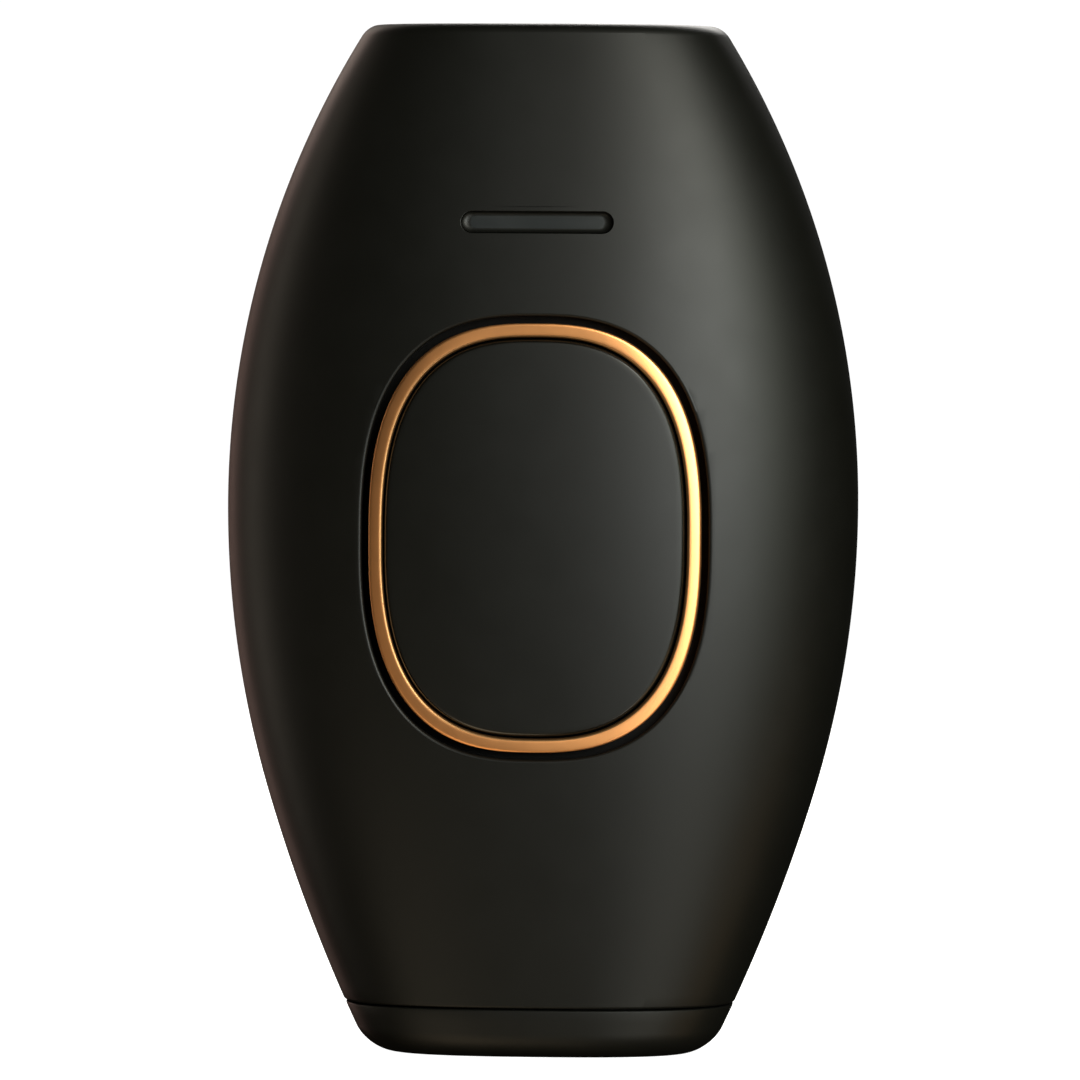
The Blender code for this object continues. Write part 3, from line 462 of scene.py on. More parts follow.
def boolean(target, other, operation):
    """Applies a Boolean and removes the other shape."""
    modifier = target.modifiers.new("Boolean", "BOOLEAN")
    modifier.operation = operation
    modifier.solver = "EXACT"
    modifier.object = other
    apply_modifiers(target)
    bpy.data.objects.remove(other)


def apply_modifiers(obj):
    graph = bpy.context.evaluated_depsgraph_get()
    shaped = bpy.data.meshes.new_from_object(obj.evaluated_get(graph))
    obj.modifiers.clear()
    obj.data = shaped
    return obj


def bevelled(obj, width, segments):
    modifier = obj.modifiers.new("Bevel", "BEVEL")
    modifier.width = width * MM
    modifier.segments = segments
    modifier.limit_method = "ANGLE"
    modifier.angle_limit = math.radians(40)
    return apply_modifiers(obj)


def box(low, high):
    corners = [(low[0], low[1]), (high[0], low[1]), (high[0], high[1]), (low[0], high[1])]
    return loft([[(x, y, z) for x, y in corners] for z in (low[2], high[2])])


# ---------------------------------------------------------------- the casing's form
def arc_drop(radius, run):
    """How far an arc falls away from its crown over a run along its tangent."""
    return radius - np.sqrt(radius**2 - run**2)


def arc_radius(drop, run):
    return (run**2 + drop**2) / (2 * drop)


def half_width(z):
    run = np.abs(z - WAIST_Z)
    upper = HALF_WIDTH - arc_drop(arc_radius(HALF_WIDTH - TOP_HALF_WIDTH, HEIGHT - WAIST_Z), run)
    start = math.asin(TAIL_START / LOWER_SIDE_RADIUS)
    tail = np.arcsin(math.sin(start) + np.maximum(run - TAIL_START, 0) / TAIL_RADIUS)
    lower = HALF_WIDTH - arc_drop(LOWER_SIDE_RADIUS, np.minimum(run, TAIL_START))
    return np.where(z >= WAIST_Z, upper, lower - TAIL_RADIUS * (math.cos(start) - np.cos(tail)))


def half_depth(z):
    upper = arc_radius(HALF_DEPTH - TOP_HALF_DEPTH, HEIGHT - BELLY_Z)
    lower = arc_radius(HALF_DEPTH - SEAM_HALF_DEPTH, BELLY_Z - SEAM_Z)
    return HALF_DEPTH - arc_drop(np.where(z >= BELLY_Z, upper, lower), np.abs(z - BELLY_Z))


def exponent(z):
    return WAIST_EXPONENT + END_EXPONENT_RISE * ((z - BELLY_Z) / BELLY_Z) ** 2


def bulge(share, index):
    """A superellipse's power term, softened near 0 and equal to 1 at 1."""
    base = FLAT_SOFTENING**index
    top = (1 + FLAT_SOFTENING**2) ** (index / 2)
    return ((share**2 + FLAT_SOFTENING**2) ** (index / 2) - base) / (top - base)


def unbulge(value, index):
    base = FLAT_SOFTENING**index
    top = (1 + FLAT_SOFTENING**2) ** (index / 2)
    return np.sqrt(np.maximum((value * (top - base) + base) ** (2 / index) - FLAT_SOFTENING**2, 0))


def section_point(z, inset, angle):
    """A point of the casing's section at a height, inset from the skin. Angle 0 is +X, and 90 is +Y."""
    index = exponent(z)
    x = (half_width(z) - inset) * np.sign(math.cos(angle)) * unbulge(math.cos(angle) ** 2, index)
    y = (half_depth(z) - inset) * np.sign(math.sin(angle)) * unbulge(math.sin(angle) ** 2, index)
    return float(x), float(y), z


def front_y(x, z):
    """The front skin's Y over a point of the front view."""
    index = exponent(z)
    across = np.minimum(1.0, np.abs(x) / half_width(z))
    return -half_depth(z) * unbulge(1 - bulge(across, index), index)


def skin_value(points):
    """0 on the casing's outer skin, less inside and more outside, for rows of points in mm."""
    x, y, z = points.T
    index = exponent(z)
    return bulge(x / half_width(z), index) + bulge(y / half_depth(z), index) - 1


def skin_normals(points):
    step = 0.01
    slopes = [skin_value(points + step * axis) - skin_value(points - step * axis) for axis in np.eye(3)]
    normals = np.array(slopes).T
    lengths = np.linalg.norm(normals, axis=1, keepdims=True)
    return normals / np.maximum(lengths, 1e-12), lengths[:, 0] / (2 * step)


def second_finish(obj, chosen):
    """Gives an object's second finish to the faces chosen by their corners, which are points in mm."""
    for face in obj.data.polygons:
        corners = np.array([obj.data.vertices[n].co for n in face.vertices]) / MM
        face.material_index = 1 if chosen(corners) else 0


def true_normals(obj):
    """Shades the faces on the casing's skin by the skin's own normals, so that no cut disturbs them."""
    smooth(obj, 32)
    mesh = obj.data
    points = np.empty(len(mesh.vertices) * 3)
    mesh.vertices.foreach_get("co", points)
    points = points.reshape(-1, 3) / MM
    normals, slope = skin_normals(points)
    on_skin = np.abs(skin_value(points)) < 0.02 * slope
    corners = np.empty(len(mesh.loops) * 3)
    mesh.corner_normals.foreach_get("vector", corners)
    corners = corners.reshape(-1, 3)
    for face in mesh.polygons:
        vertices = list(face.vertices)
        if on_skin[vertices].all() and Vector(normals[vertices].mean(axis=0)).dot(face.normal) > 0.97:
            corners[list(face.loop_indices)] = normals[vertices]
    mesh.normals_split_custom_set([tuple(corner) for corner in corners])


def even(low, high, count):
    return [low + (high - low) * n / (count - 1) for n in range(count)]


def arc(start, end, count):
    return [math.radians(a) for a in even(start, end, count)]


# ---------------------------------------------------------------- outlines
def outline(outset=0.0, scale=1.0):
    """The button group's outline in the front view, grown or shrunk from the ring's outer edge."""
    points = []
    for n in range(OUTLINE_STEPS):
        angle = 2 * math.pi * n / OUTLINE_STEPS
        across, up = math.cos(angle), math.sin(angle)
        reach = (abs(across) ** OUTLINE_EXPONENT + abs(up) ** OUTLINE_EXPONENT) ** (-1 / OUTLINE_EXPONENT)
        x = (RING_HALF_WIDTH * scale + outset) * reach * across
        points.append((x, RING_Z + (RING_HALF_HEIGHT * scale + outset) * reach * up))
    return points


def stadium(half_long, half_high, centre, steps=14, upright=False):
    """A slot outline with round ends, along X or standing along Z."""
    straight = half_long - half_high
    points = []
    for side, start in ((1, -math.pi / 2), (-1, math.pi / 2)):
        for n in range(steps + 1):
            angle = start + math.pi * n / steps
            along = side * straight + half_high * math.cos(angle)
            across = half_high * math.sin(angle)
            if upright:
                along, across = -across, along
            points.append((centre[0] + along, centre[1] + across))
    return points


def circle(radius, centre, steps=40):
    turns = [2 * math.pi * n / steps for n in range(steps)]
    return [(centre[0] + radius * math.cos(a), centre[1] + radius * math.sin(a)) for a in turns]


def at_depth(points, depth, side=-1):
    """Points of the front view dropped a depth below the front skin, or with side 1 the rear skin."""
    return [(x, side * (-float(front_y(x, z)) - depth), z) for x, z in points]


def at_y(points, y):
    return [(x, y, z) for x, z in points]


def recess(grown, lip, side=-1):
    """A cutter that sinks through the skin with a rounded edge. grown(outset) gives its outline."""
    rows = [(lip + 0.5, -4.0), (lip + 0.5, -0.12)]
    rows += [(lip * (1 - math.sin(a)), lip * (1 - math.cos(a))) for a in arc(14, 90, 6)]
    rows.append((0.0, CUT_DEPTH))
    return loft([at_depth(grown(outset), depth, side) for outset, depth in rows])


# ---------------------------------------------------------------- casing
def shell_profile():
    """The shells' wall as (height, inset) points: up the outer skin, over the rim, down the inner skin."""
    low = SEAM_Z + SEAM_GAP
    shoulder = HEIGHT - RIM_HEIGHT
    foot = [(low + rise, inset) for rise, inset in SEAM_SOFTENING]
    outer = [(z, 0.0) for z in even(low + SEAM_EDGE, shoulder, CASING_ROWS)]
    rim = [(shoulder + RIM_HEIGHT * math.sin(a), RIM_INSET * (1 - math.cos(a))) for a in arc(8, 90, 8)]
    mouth = [(HEIGHT, WALL - RIM_CHAMFER), (HEIGHT - RIM_CHAMFER, WALL)]
    inner = [(z, WALL) for z in even(HEIGHT - 1.5, low, CASING_ROWS // 2)]
    return foot + outer + rim + mouth + inner


def half_shell(side):
    """The wall's profile swept round half the section, with its edges chamfered at the parting line."""
    profile = shell_profile()
    edge = PARTING_GAP / 2
    loops = []
    for n in range(CASING_COLUMNS + 1):
        angle = side * math.pi * n / CASING_COLUMNS
        loop = []
        for z, inset in profile:
            x, y, _ = section_point(z, inset, angle)
            shift = edge + EDGE_CHAMFER
            loop.append((x, side * shift + y * (1 - shift / (float(half_depth(z)) - inset)), z))
        loops.append(loop)
    for end in (0, -1):
        chamfered = []
        for (x, _, z), (_, inset) in zip(loops[end], profile):
            step = EDGE_CHAMFER if inset < WALL / 2 else 0.0
            chamfered.append((x - math.copysign(step, x), side * edge, z))
        loops.insert(0 if end == 0 else len(loops), chamfered)
    return loft(loops)


def casing_front():
    shell = half_shell(-1)
    opening = recess(lambda outset: outline(GROOVE_WIDTH + outset), OPENING_LIP)
    slot = recess(lambda o: stadium(SLOT_HALF[0] + o, SLOT_HALF[1] + o, (0.0, DISPLAY_Z)), SLOT_LIP)
    boolean(shell, opening, "DIFFERENCE")
    boolean(shell, slot, "DIFFERENCE")
    true_normals(shell)
    piece(shell, "casing_front", "casing", ["soft_touch_black"], ["front_shell"])


def vent_outline(long, high, place, upright, outset):
    return stadium(long + outset, high + outset, place, 8, upright)


def grille_cutters():
    """Upright slots over the fan whose ends follow a circle, and four level slots low on the back."""
    slots = []
    for n in range(-3, 4):
        x = n * GRILLE_PITCH
        reach = math.sqrt(FAN_TIP**2 - x**2)
        slots.append((reach, GRILLE_HALF_WIDTH, (x, FAN_Z), True))
    for n in range(4):
        slots.append((*EXHAUST_HALF, (0.0, EXHAUST_Z + EXHAUST_PITCH * n), False))
    cutters = []
    for long, high, place, upright in slots:
        grown = functools.partial(vent_outline, long, high, place, upright)
        cutters.append(recess(grown, VENT_LIP, 1))
    return cutters


def well_cutter(x, z):
    """A screw's well: round, with a softened mouth, down to the seat of the screw's head."""
    mouth = [(0.75, -3.0), (0.75, -0.12), (0.35, 0.03), (0.12, 0.14), (0.0, 0.35)]
    rows = [at_depth(circle(WELL_RADIUS + outset, (x, z)), depth, 1) for outset, depth in mouth]
    return loft([*rows, at_y(circle(WELL_RADIUS, (x, z)), WELL_SEAT_Y)])


def edge_rib(side):
    """A rib inside the rear shell's edge that overlaps the front shell's and closes the parting line."""
    rows = []
    for z in even(*RIB_Z, 36):
        wall = float(half_width(z)) - WALL
        points = [(wall - 0.3, -1.4), (wall - 0.3, 0.3), (wall + 0.7, 0.6), (wall + 0.7, 2.2)]
        points += [(wall - 1.2, 2.2), (wall - 1.2, -1.4)]
        rows.append([(side * x, y, z) for x, y in points])
    return loft(rows)


def rods(radius, low, high, places, axis):
    """A plain round rod at each place, between two heights along an axis."""
    return joined([turned([(radius, low), (radius, high)], place, axis) for place in places])


def casing_rear():
    shell = half_shell(1)
    levels = even(7.0, 124.0, 60)
    core = loft([section_ring(z, BOSS_CORE_INSET, steps=96) for z in levels])
    places = [(x, 0, z) for x, z in CASING_SCREWS]
    posts = rods(BOSS_RADIUS, 0.2, 30.0, places, (0, 1, 0))
    boolean(posts, core, "INTERSECT")
    boolean(shell, posts, "UNION")
    boolean(shell, joined([edge_rib(-1), edge_rib(1)]), "UNION")
    wells = joined([well_cutter(x, z) for x, z in CASING_SCREWS])
    holes = rods(SCREW_RADIUS + SCREW_HOLE_GAP, -2.0, 8.0, places, (0, 1, 0))
    boolean(shell, wells, "DIFFERENCE")
    boolean(shell, holes, "DIFFERENCE")
    boolean(shell, joined(grille_cutters()), "DIFFERENCE")
    true_normals(shell)
    piece(shell, "casing_rear", "casing", ["soft_touch_black"], ["rear_shell"])


def section_ring(z, inset, at=None, steps=SECTION_STEPS):
    """The casing's section at a height, drawn at that height or at another."""
    points = [section_point(z, inset, 2 * math.pi * n / steps) for n in range(steps)]
    return [(x, y, z if at is None else at) for x, y, _ in points]


def casing_foot():
    """The bottom cap: a cup with a rounded foot, a tongue, a jack hole and two screw wells."""
    top = SEAM_Z - SEAM_GAP
    tongue_top = top + TONGUE_RISE
    inside = [(CAP_FLOOR_Z, 4.0), (2.6, TONGUE[1]), (tongue_top, TONGUE[1]), (tongue_top, TONGUE[0])]
    edge = [(top, TONGUE[0]), *[(top - drop, inset) for drop, inset in SEAM_SOFTENING]]
    wall = [(top - SEAM_EDGE, 0.0), (FOOT_RADIUS + 1.5, 0.0)]
    foot = [(FOOT_RADIUS * (1 - math.sin(a)), FOOT_RADIUS * (1 - math.cos(a))) for a in arc(0, 90, 14)]
    cap = loft([section_ring(z, inset) for z, inset in inside + edge + wall + foot])
    places = [(side * CAP_SCREW_X, 0, 0) for side in (-1, 1)]
    boolean(cap, rods(BOSS_RADIUS, 1.0, 10.2, places, (0, 0, 1)), "UNION")
    mouth = [(3.4, -0.6), (2.9, -0.1), (2.62, 0.12), (WELL_RADIUS, 0.4), (WELL_RADIUS, 7.4)]
    boolean(cap, joined([turned(mouth, place, (0, 0, 1)) for place in places]), "DIFFERENCE")
    boolean(cap, rods(SCREW_RADIUS + SCREW_HOLE_GAP, 6.0, 12.0, places, (0, 0, 1)), "DIFFERENCE")
    inlet = [(5.2, -0.6), (4.7, -0.1), (4.42, 0.12), (4.3, 0.4), (4.3, 4.5)]
    boolean(cap, turned(inlet, (0, 0, 0), (0, 0, 1), 64), "DIFFERENCE")
    smooth(cap)
    piece(cap, "casing_foot", "casing", ["soft_touch_black"], ["bottom_cap"])


# ---------------------------------------------------------------- button group
def leaning_row(outset, depth):
    """One outline of the ring, which leans inwards a little, and more at its very top."""
    row = []
    for x, z in outline(outset):
        rise = max(0.0, (z - RING_Z) / RING_HALF_HEIGHT)
        lean = RING_TOP_LEAN * rise**10 + RING_SIDE_LEAN * (1.0 - rise)
        row += at_depth([(x, z)], depth - outset * lean)
    return row


def ring_band():
    """The copper-gold ring: a satin band between a soft outer edge and a rounded bead, with a black bore.
    The bead's darker copy of the plating and the black bore are painted shade.

    Its profile is (outset, depth) points, in from the outer edge and down the bore.
    """
    inner, base = -RING_WIDTH, RING_BASE_DEPTH
    bead, bore = range(9, 12), 12
    profile = [(0.0, 0.34), (-0.02, 0.17), (-0.08, 0.12), (-0.2, 0.04), (-0.34, 0.025), (-0.8, 0.03)]
    profile += [(inner + 0.7, 0.035), (inner + 0.58, 0.04), (inner + 0.44, 0.052), (inner + 0.33, 0.07)]
    profile += [(inner + 0.2, 0.12), (inner + 0.08, 0.27), (inner, 0.55), (inner, base), (0.0, base)]
    ring = loft([leaning_row(outset, depth) for outset, depth in profile], cyclic=True)
    for number, face in enumerate(ring.data.polygons):
        row = number // OUTLINE_STEPS
        # The bead's rows take the darker copy of the plating: painted shade
        if row in bead:
            face.material_index = 1
        # The bore's row takes matt black instead of the plating: painted shade in the narrow gap round the
        # button
        elif row == bore:
            face.material_index = 2
    smooth(ring, 50)
    finishes = ["copper_gold", "copper_gold_shaded_bead", "matt_black"]
    piece(ring, "ring_band", "casing", finishes, ["accent_ring"])


def button_tub():
    """The tub behind the button. Its flange is the floor of the groove round the ring."""
    inner, outer, flange = -RING_WIDTH, -0.3, GROOVE_WIDTH + 1.5
    rows = [
        at_y(outline(inner), TUB_FLOOR_Y[0]),
        at_depth(outline(inner), FLANGE_DEPTH[0]),
        at_depth(outline(flange), FLANGE_DEPTH[0]),
        at_depth(outline(flange), FLANGE_DEPTH[1]),
        at_depth(outline(outer), FLANGE_DEPTH[1]),
        at_y(outline(outer), TUB_FLOOR_Y[1]),
    ]
    tub = loft(rows)
    near, far = TUB_CUT_Y
    hole = [(PIN_HOLE_RADIUS, near), (PIN_HOLE_RADIUS, far)]
    guides = [turned(hole, (x, 0, z), (0, 1, 0), 24) for x, z in GUIDE_PLACES]
    window = box((-TUB_WINDOW, near, BELLY_Z - TUB_WINDOW), (TUB_WINDOW, far, BELLY_Z + TUB_WINDOW))
    boolean(tub, joined([*guides, window]), "DIFFERENCE")
    smooth(tub)
    piece(tub, "button_tub", "casing", ["matt_black"], ["button_bezel"])


def on_button_edge(corners):
    """Whether a face lies on the rounded edge, and so deeper than the crowned face and above the skirt."""
    x, y, z = corners.mean(axis=0)
    return 0.03 < y - float(front_y(x, z)) - BUTTON_TOP < BUTTON_EDGE


def button_face():
    """The flash button: a crowned pad with a rounded edge, a skirt, a centre boss and four guide pins."""
    edge = -RING_WIDTH - BUTTON_GAP
    inner = edge - BUTTON_RIM
    rows = [at_depth(outline(0.0, scale), BUTTON_TOP) for scale in FACE_SCALES]
    rows.append(at_depth(outline(edge - BUTTON_EDGE - 0.5), BUTTON_TOP))
    for a in arc(0, 90, 9):
        outset = edge - BUTTON_EDGE * (1 - math.sin(a))
        rows.append(at_depth(outline(outset), BUTTON_TOP + BUTTON_EDGE * (1 - math.cos(a))))
    rows += [at_depth(outline(edge), BUTTON_SKIRT), at_depth(outline(inner), BUTTON_SKIRT)]
    rows += [at_depth(outline(inner), BUTTON_UNDERSIDE), at_depth(outline(0.0, 0.5), BUTTON_UNDERSIDE)]
    rows.append(at_depth(outline(0.0, 0.05), BUTTON_UNDERSIDE))
    cap = loft(rows)
    pin = [(PIN_RADIUS, y) for y in PIN_Y]
    pins = [turned(pin, (x, 0, z), (0, 1, 0), 24) for x, z in GUIDE_PLACES]
    boss = turned([(BUTTON_BOSS_RADIUS, y) for y in BOSS_Y], (0, 0, BELLY_Z), (0, 1, 0), 32)
    boolean(cap, joined([*pins, boss]), "UNION")
    second_finish(cap, on_button_edge)
    smooth(cap)
    finishes = ["soft_touch_button", "burnished_edge"]
    piece(cap, "button_face", "button", finishes, ["button_cap"])


def button_coil(number, x, z):
    """A return spring round a guide pin, built at its rest length, though the real one shortens as the
    button goes in.
    """
    low, high = SPRING_SEAT_Y, float(front_y(x, z)) + SPRING_TOP_DEPTH
    count = int(SPRING_TURNS * 24)
    loops = []
    for n in range(count + 1):
        turn = 2 * math.pi * SPRING_TURNS * n / count
        rise = low + (high - low) * n / count
        centre = Vector((x + SPRING_RADIUS * math.cos(turn), rise, z + SPRING_RADIUS * math.sin(turn)))
        out = Vector((math.cos(turn), 0, math.sin(turn)))
        ring = []
        for k in range(8):
            angle = 2 * math.pi * k / 8
            ring.append(centre + SPRING_WIRE * (math.cos(angle) * out + math.sin(angle) * Vector((0, 1, 0))))
        loops.append(ring)
    coil = smooth(loft(loops))
    name = f"button_spring_{number}"
    piece(coil, f"return_spring_{number}", "casing", ["steel"], [name])
    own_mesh(coil)


# ---------------------------------------------------------------- display
def display_lens():
    """A smoked lens whose edge dishes up to the slot's rim, on a wider plate behind the wall."""
    centre = (0.0, DISPLAY_Z)
    long, high = SLOT_HALF[0] - LENS_GAP, SLOT_HALF[1] - LENS_GAP
    loops = [at_depth(stadium(long, high, centre), depth) for depth in (LENS_BACK, 0.2)]
    for t in (0.02, 0.06, 0.12, 0.2, 0.3, 0.42, 0.56, 0.72, 0.88, 1.0):
        depth = LENS_RIM + (LENS_DEPTH - LENS_RIM) * math.sqrt(1 - (1 - t) ** 2)
        loops.append(at_depth(stadium(long - t * DISH[0], high - t * DISH[1], centre), depth))
    flat = stadium(long - DISH[0] - 0.3, high - DISH[1] - 0.3, centre)
    lens = loft([*loops, at_depth(flat, LENS_DEPTH)])
    wide, tall = LENS_PLATE_HALF
    plate = box((-wide, LENS_PLATE_Y[0], DISPLAY_Z - tall), (wide, LENS_PLATE_Y[1], DISPLAY_Z + tall))
    boolean(lens, plate, "UNION")
    reach = np.array([long - DISH[0], 20.0, high - DISH[1]]) + 0.01
    second_finish(lens, lambda corners: (np.abs(corners - (0.0, -20.0, DISPLAY_Z)) < reach).all())
    smooth(lens, 50)
    finishes = ["soft_touch_black", "smoked_window"]
    piece(lens, "display_lens", "casing", finishes, ["display_window"])


# ---------------------------------------------------------------- flash head
def rounded_rectangle(half, corner, z):
    """A rectangle with round corners in a level plane, counter-clockwise."""
    points = []
    for sx, sy, start in ((1, 1, 0), (-1, 1, 90), (-1, -1, 180), (1, -1, 270)):
        for a in arc(start, start + 90, 9):
            x = sx * (half[0] - corner) + corner * math.cos(a)
            points.append((x, sy * (half[1] - corner) + corner * math.sin(a), z))
    return points


def flash_collar():
    """The frame of the flash window, a plug in the casing's mouth with a sunken, softened aperture."""
    plug = WALL + COLLAR_GAP
    foot, ledge = COLLAR_FOOT_Z
    rows = [section_ring(118.0, plug + 0.5, z) for z in (foot, ledge)]
    rows += [section_ring(HEIGHT, plug, z) for z in (ledge + 0.01, COLLAR_TOP_Z - COLLAR_ROUNDING)]
    for a in arc(20, 90, 5):
        z = COLLAR_TOP_Z - COLLAR_ROUNDING * (1 - math.sin(a))
        rows.append(section_ring(HEIGHT, plug + COLLAR_ROUNDING * (1 - math.cos(a)), z))
    collar = loft(rows)
    mouth = [(0.9, COLLAR_TOP_Z + 0.6), (0.9, COLLAR_TOP_Z + 0.02), (0.6, COLLAR_TOP_Z - 0.12)]
    mouth += [(0.3, COLLAR_TOP_Z - 0.5), (0.08, GLASS_Z[1] + 0.2), (0.0, GLASS_Z[1])]
    mouth.append((0.0, COLLAR_CUT_Z))
    size = [(APERTURE_HALF[0] + grow, APERTURE_HALF[1] + grow) for grow, _ in mouth]
    aperture = loft([rounded_rectangle(half, 1.6 + grow, z) for half, (grow, z) in zip(size, mouth)])
    pocket_half = (GLASS_HALF[0] + 0.2, GLASS_HALF[1] + 0.2)
    pocket = loft([rounded_rectangle(pocket_half, 1.2, z) for z in (GLASS_Z[1] + 0.15, COLLAR_CUT_Z)])
    boolean(collar, aperture, "DIFFERENCE")
    boolean(collar, pocket, "DIFFERENCE")
    slots = [beside_window(side, CONTACT_SLOT_HALF, 123.3, 127.0) for side in (-1, 1)]
    boolean(collar, joined(slots), "DIFFERENCE")
    smooth(collar)
    piece(collar, "flash_collar", "casing", ["matt_black"], ["flash_head_frame"])


def beside_window(side, half, low, high):
    """A box centred on a skin contact, between two heights."""
    x = side * CONTACT_X
    return box((x - half[0], -half[1], low), (x + half[0], half[1], high))


def contact_strips():
    for side, name in ((-1, "left"), (1, "right")):
        strip = beside_window(side, CONTACT_HALF, 123.5, COLLAR_TOP_Z + 0.12)
        smooth(bevelled(strip, 0.25, 4))
        piece(strip, f"contact_strip_{name}", "casing", ["steel"], [f"skin_contact_{name}"])


def filter_pane():
    """The amber-red filter glass of the flash window, with ground edges."""
    low, high = GLASS_Z
    levels = [(GLASS_CHAMFER, low), (0.0, low + GLASS_CHAMFER)]
    levels += [(0.0, high - GLASS_CHAMFER), (GLASS_CHAMFER, high)]
    pane = loft([rounded_rectangle((GLASS_HALF[0] - i, GLASS_HALF[1] - i), 1.0, z) for i, z in levels])
    smooth(pane, 30)
    piece(pane, "filter_pane", "casing", ["filter_glass"], ["filter_window"])


# ---------------------------------------------------------------- fasteners, inlet and fan
def screw_profile(length):
    """(radius, height) points of a screw: a domed head, a ridged shank and a blunt tip."""
    head, seat = SCREW_HEAD_RADIUS, -SCREW_HEAD_HEIGHT
    profile = [(0.0, 0.0), (0.9, -0.03), (1.5, -0.14), (1.85, -0.34), (2.05, -0.62), (head, -0.9)]
    profile += [(head, seat + 0.1), (head - 0.1, seat), (SCREW_RADIUS, seat)]
    for n in range(int((length - 3.0) / SCREW_PITCH)):
        start = -2.0 - SCREW_PITCH * n
        profile += [(SCREW_RADIUS, start), (SCREW_RADIUS, start - 0.25)]
        profile += [(SCREW_ROOT_RADIUS, start - 0.45), (SCREW_ROOT_RADIUS, start - 0.6)]
    return [*profile, (0.5, -length), (0.0, -length)]


def cross_arm(wide, high):
    """One arm of a cross recess: straight at its mouth, and half as big at its foot."""
    corners = [(-wide, -high), (wide, -high), (wide, high), (-wide, high)]
    levels = [(1.0, 0.4), (1.0, -0.2), (0.5, -CROSS_DEPTH)]
    return [[(x * scale, y * scale, z) for x, y in corners] for scale, z in levels]


def screw(name, node, head, tip):
    """A pan-head screw with a cross recess, from its head's outer face to its tip."""
    head, tip = Vector(head), Vector(tip)
    turn = (head - tip).to_track_quat("Z", "Y")
    made = turned(screw_profile((tip - head).length), head, head - tip, 40)
    for wide, high in (CROSS_HALF, CROSS_HALF[::-1]):
        arm = loft([[head + turn @ Vector(p) for p in row] for row in cross_arm(wide, high)])
        boolean(made, arm, "DIFFERENCE")
    smooth(made, 35)
    piece(made, name, "casing", ["steel"], [node])


def screws():
    for n, (x, z) in enumerate(CASING_SCREWS):
        head, tip = ((x, y, z) for y in CASING_SCREW_Y)
        screw(f"shell_screw_{n + 1}", f"casing_screw_{n + 1}", head, tip)
    for side, name in ((-1, "left"), (1, "right")):
        head, tip = ((side * CAP_SCREW_X, 0, z) for z in CAP_SCREW_Z)
        screw(f"foot_screw_{name}", f"cap_screw_{name}", head, tip)


def power_inlet():
    """The barrel jack in the base: a sleeve with a softened mouth, and its centre pin."""
    sleeve = [(4.0, 11.5), (4.0, 0.7), (3.9, 0.5), (3.7, 0.4), (3.4, 0.42), (3.2, 0.55), (3.1, 0.8)]
    sleeve += [(3.1, 9.5), (1.6, 9.5), (1.6, 11.5)]
    body = smooth(turned(sleeve, (0, 0, 0), (0, 0, 1), 64, closed=True))
    piece(body, "inlet_sleeve", "casing", ["black_trim"], ["dc_jack_housing"])
    pin = [(0.0, 12.8), (1.2, 12.8), (1.2, 9.0), (1.05, 8.6), (1.05, 2.5)]
    pin += [(0.98, 2.15), (0.75, 1.9), (0.4, 1.8), (0.0, 1.8)]
    rod = smooth(turned(pin, (0, 0, 0), (0, 0, 1), 40))
    piece(rod, "inlet_pin", "casing", ["steel"], ["dc_jack_pin"])


def blade_section(reach, start):
    """A cambered section of a blade at a reach from the axis, for a blade that starts at an angle."""
    share = max(0.0, (reach - FAN_HUB) / (FAN_TIP - FAN_HUB))
    sweep = start + 0.34 * share**1.6
    chord = 0.36 + 0.05 * share
    points = []
    for side in (-1, 1):
        for along in even(-1.0, 1.0, 7)[:: 1 if side < 0 else -1]:
            angle = sweep + chord * along
            camber = BLADE_CAMBER * (1 - along**2)
            y = BLADE_MIDDLE_Y + BLADE_PITCH * along + camber + side * BLADE_HALF_THICKNESS
            points.append((reach * math.cos(angle), y, FAN_Z + reach * math.sin(angle)))
    return points


def fan_blade(start):
    return loft([blade_section(reach, start) for reach in even(FAN_HUB - 0.5, FAN_TIP, 8)])


def fan_wheel():
    """The fan's rotor: a domed hub with swept, pitched blades."""
    front, back = FAN_Y[0] + 1.3, FAN_Y[1] - 0.5
    cup = [(0.0, back), (4.6, back), (5.6, back - 0.1), (6.3, back - 0.45), (FAN_HUB, back - 1.0)]
    cup += [(FAN_HUB, front), (FAN_HUB - 1.0, front), (FAN_HUB - 1.0, back - 1.3), (0.0, back - 1.3)]
    hub = turned(cup, (0, 0, FAN_Z), (0, 1, 0), 64)
    blades = [fan_blade(2 * math.pi * n / FAN_BLADES) for n in range(FAN_BLADES)]
    boolean(hub, joined(blades), "UNION")
    smooth(hub)
    piece(hub, "fan_wheel", "fan", ["black_trim"], ["fan_rotor"])


def finish_kept_nodes():
    """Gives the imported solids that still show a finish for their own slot."""
    for entry in frame["record"]["subparts"]:
        node = frame["nodes"][entry["node"]]
        finish = FINISHES.get(entry["material_slot"], FINISHES["soft_touch_black"])
        for slot in node.material_slots:
            slot.material = finish


# ---------------------------------------------------------------- stage
def direction(azimuth, elevation):
    """A unit vector from the object. Azimuth 0 is the front, and 90 is +X."""
    turn, lift = math.radians(azimuth), math.radians(elevation)
    return Vector((math.sin(turn) * math.cos(lift), -math.cos(turn) * math.cos(lift), math.sin(lift)))


def area_light(name, azimuth, elevation, distance_mm, size_mm, power, colour):
    data = bpy.data.lights.new(name, "AREA")
    data.shape = "RECTANGLE"
    data.size, data.size_y = size_mm[0] * MM, size_mm[1] * MM
    data.energy = power
    data.color = colour
    lamp = bpy.data.objects.new(name, data)
    lamp.location = (Vector(LIGHT_AIM) + direction(azimuth, elevation) * distance_mm) * MM
    lamp.rotation_euler = (-direction(azimuth, elevation)).to_track_quat("-Z", "Y").to_euler()
    bpy.context.scene.collection.objects.link(lamp)


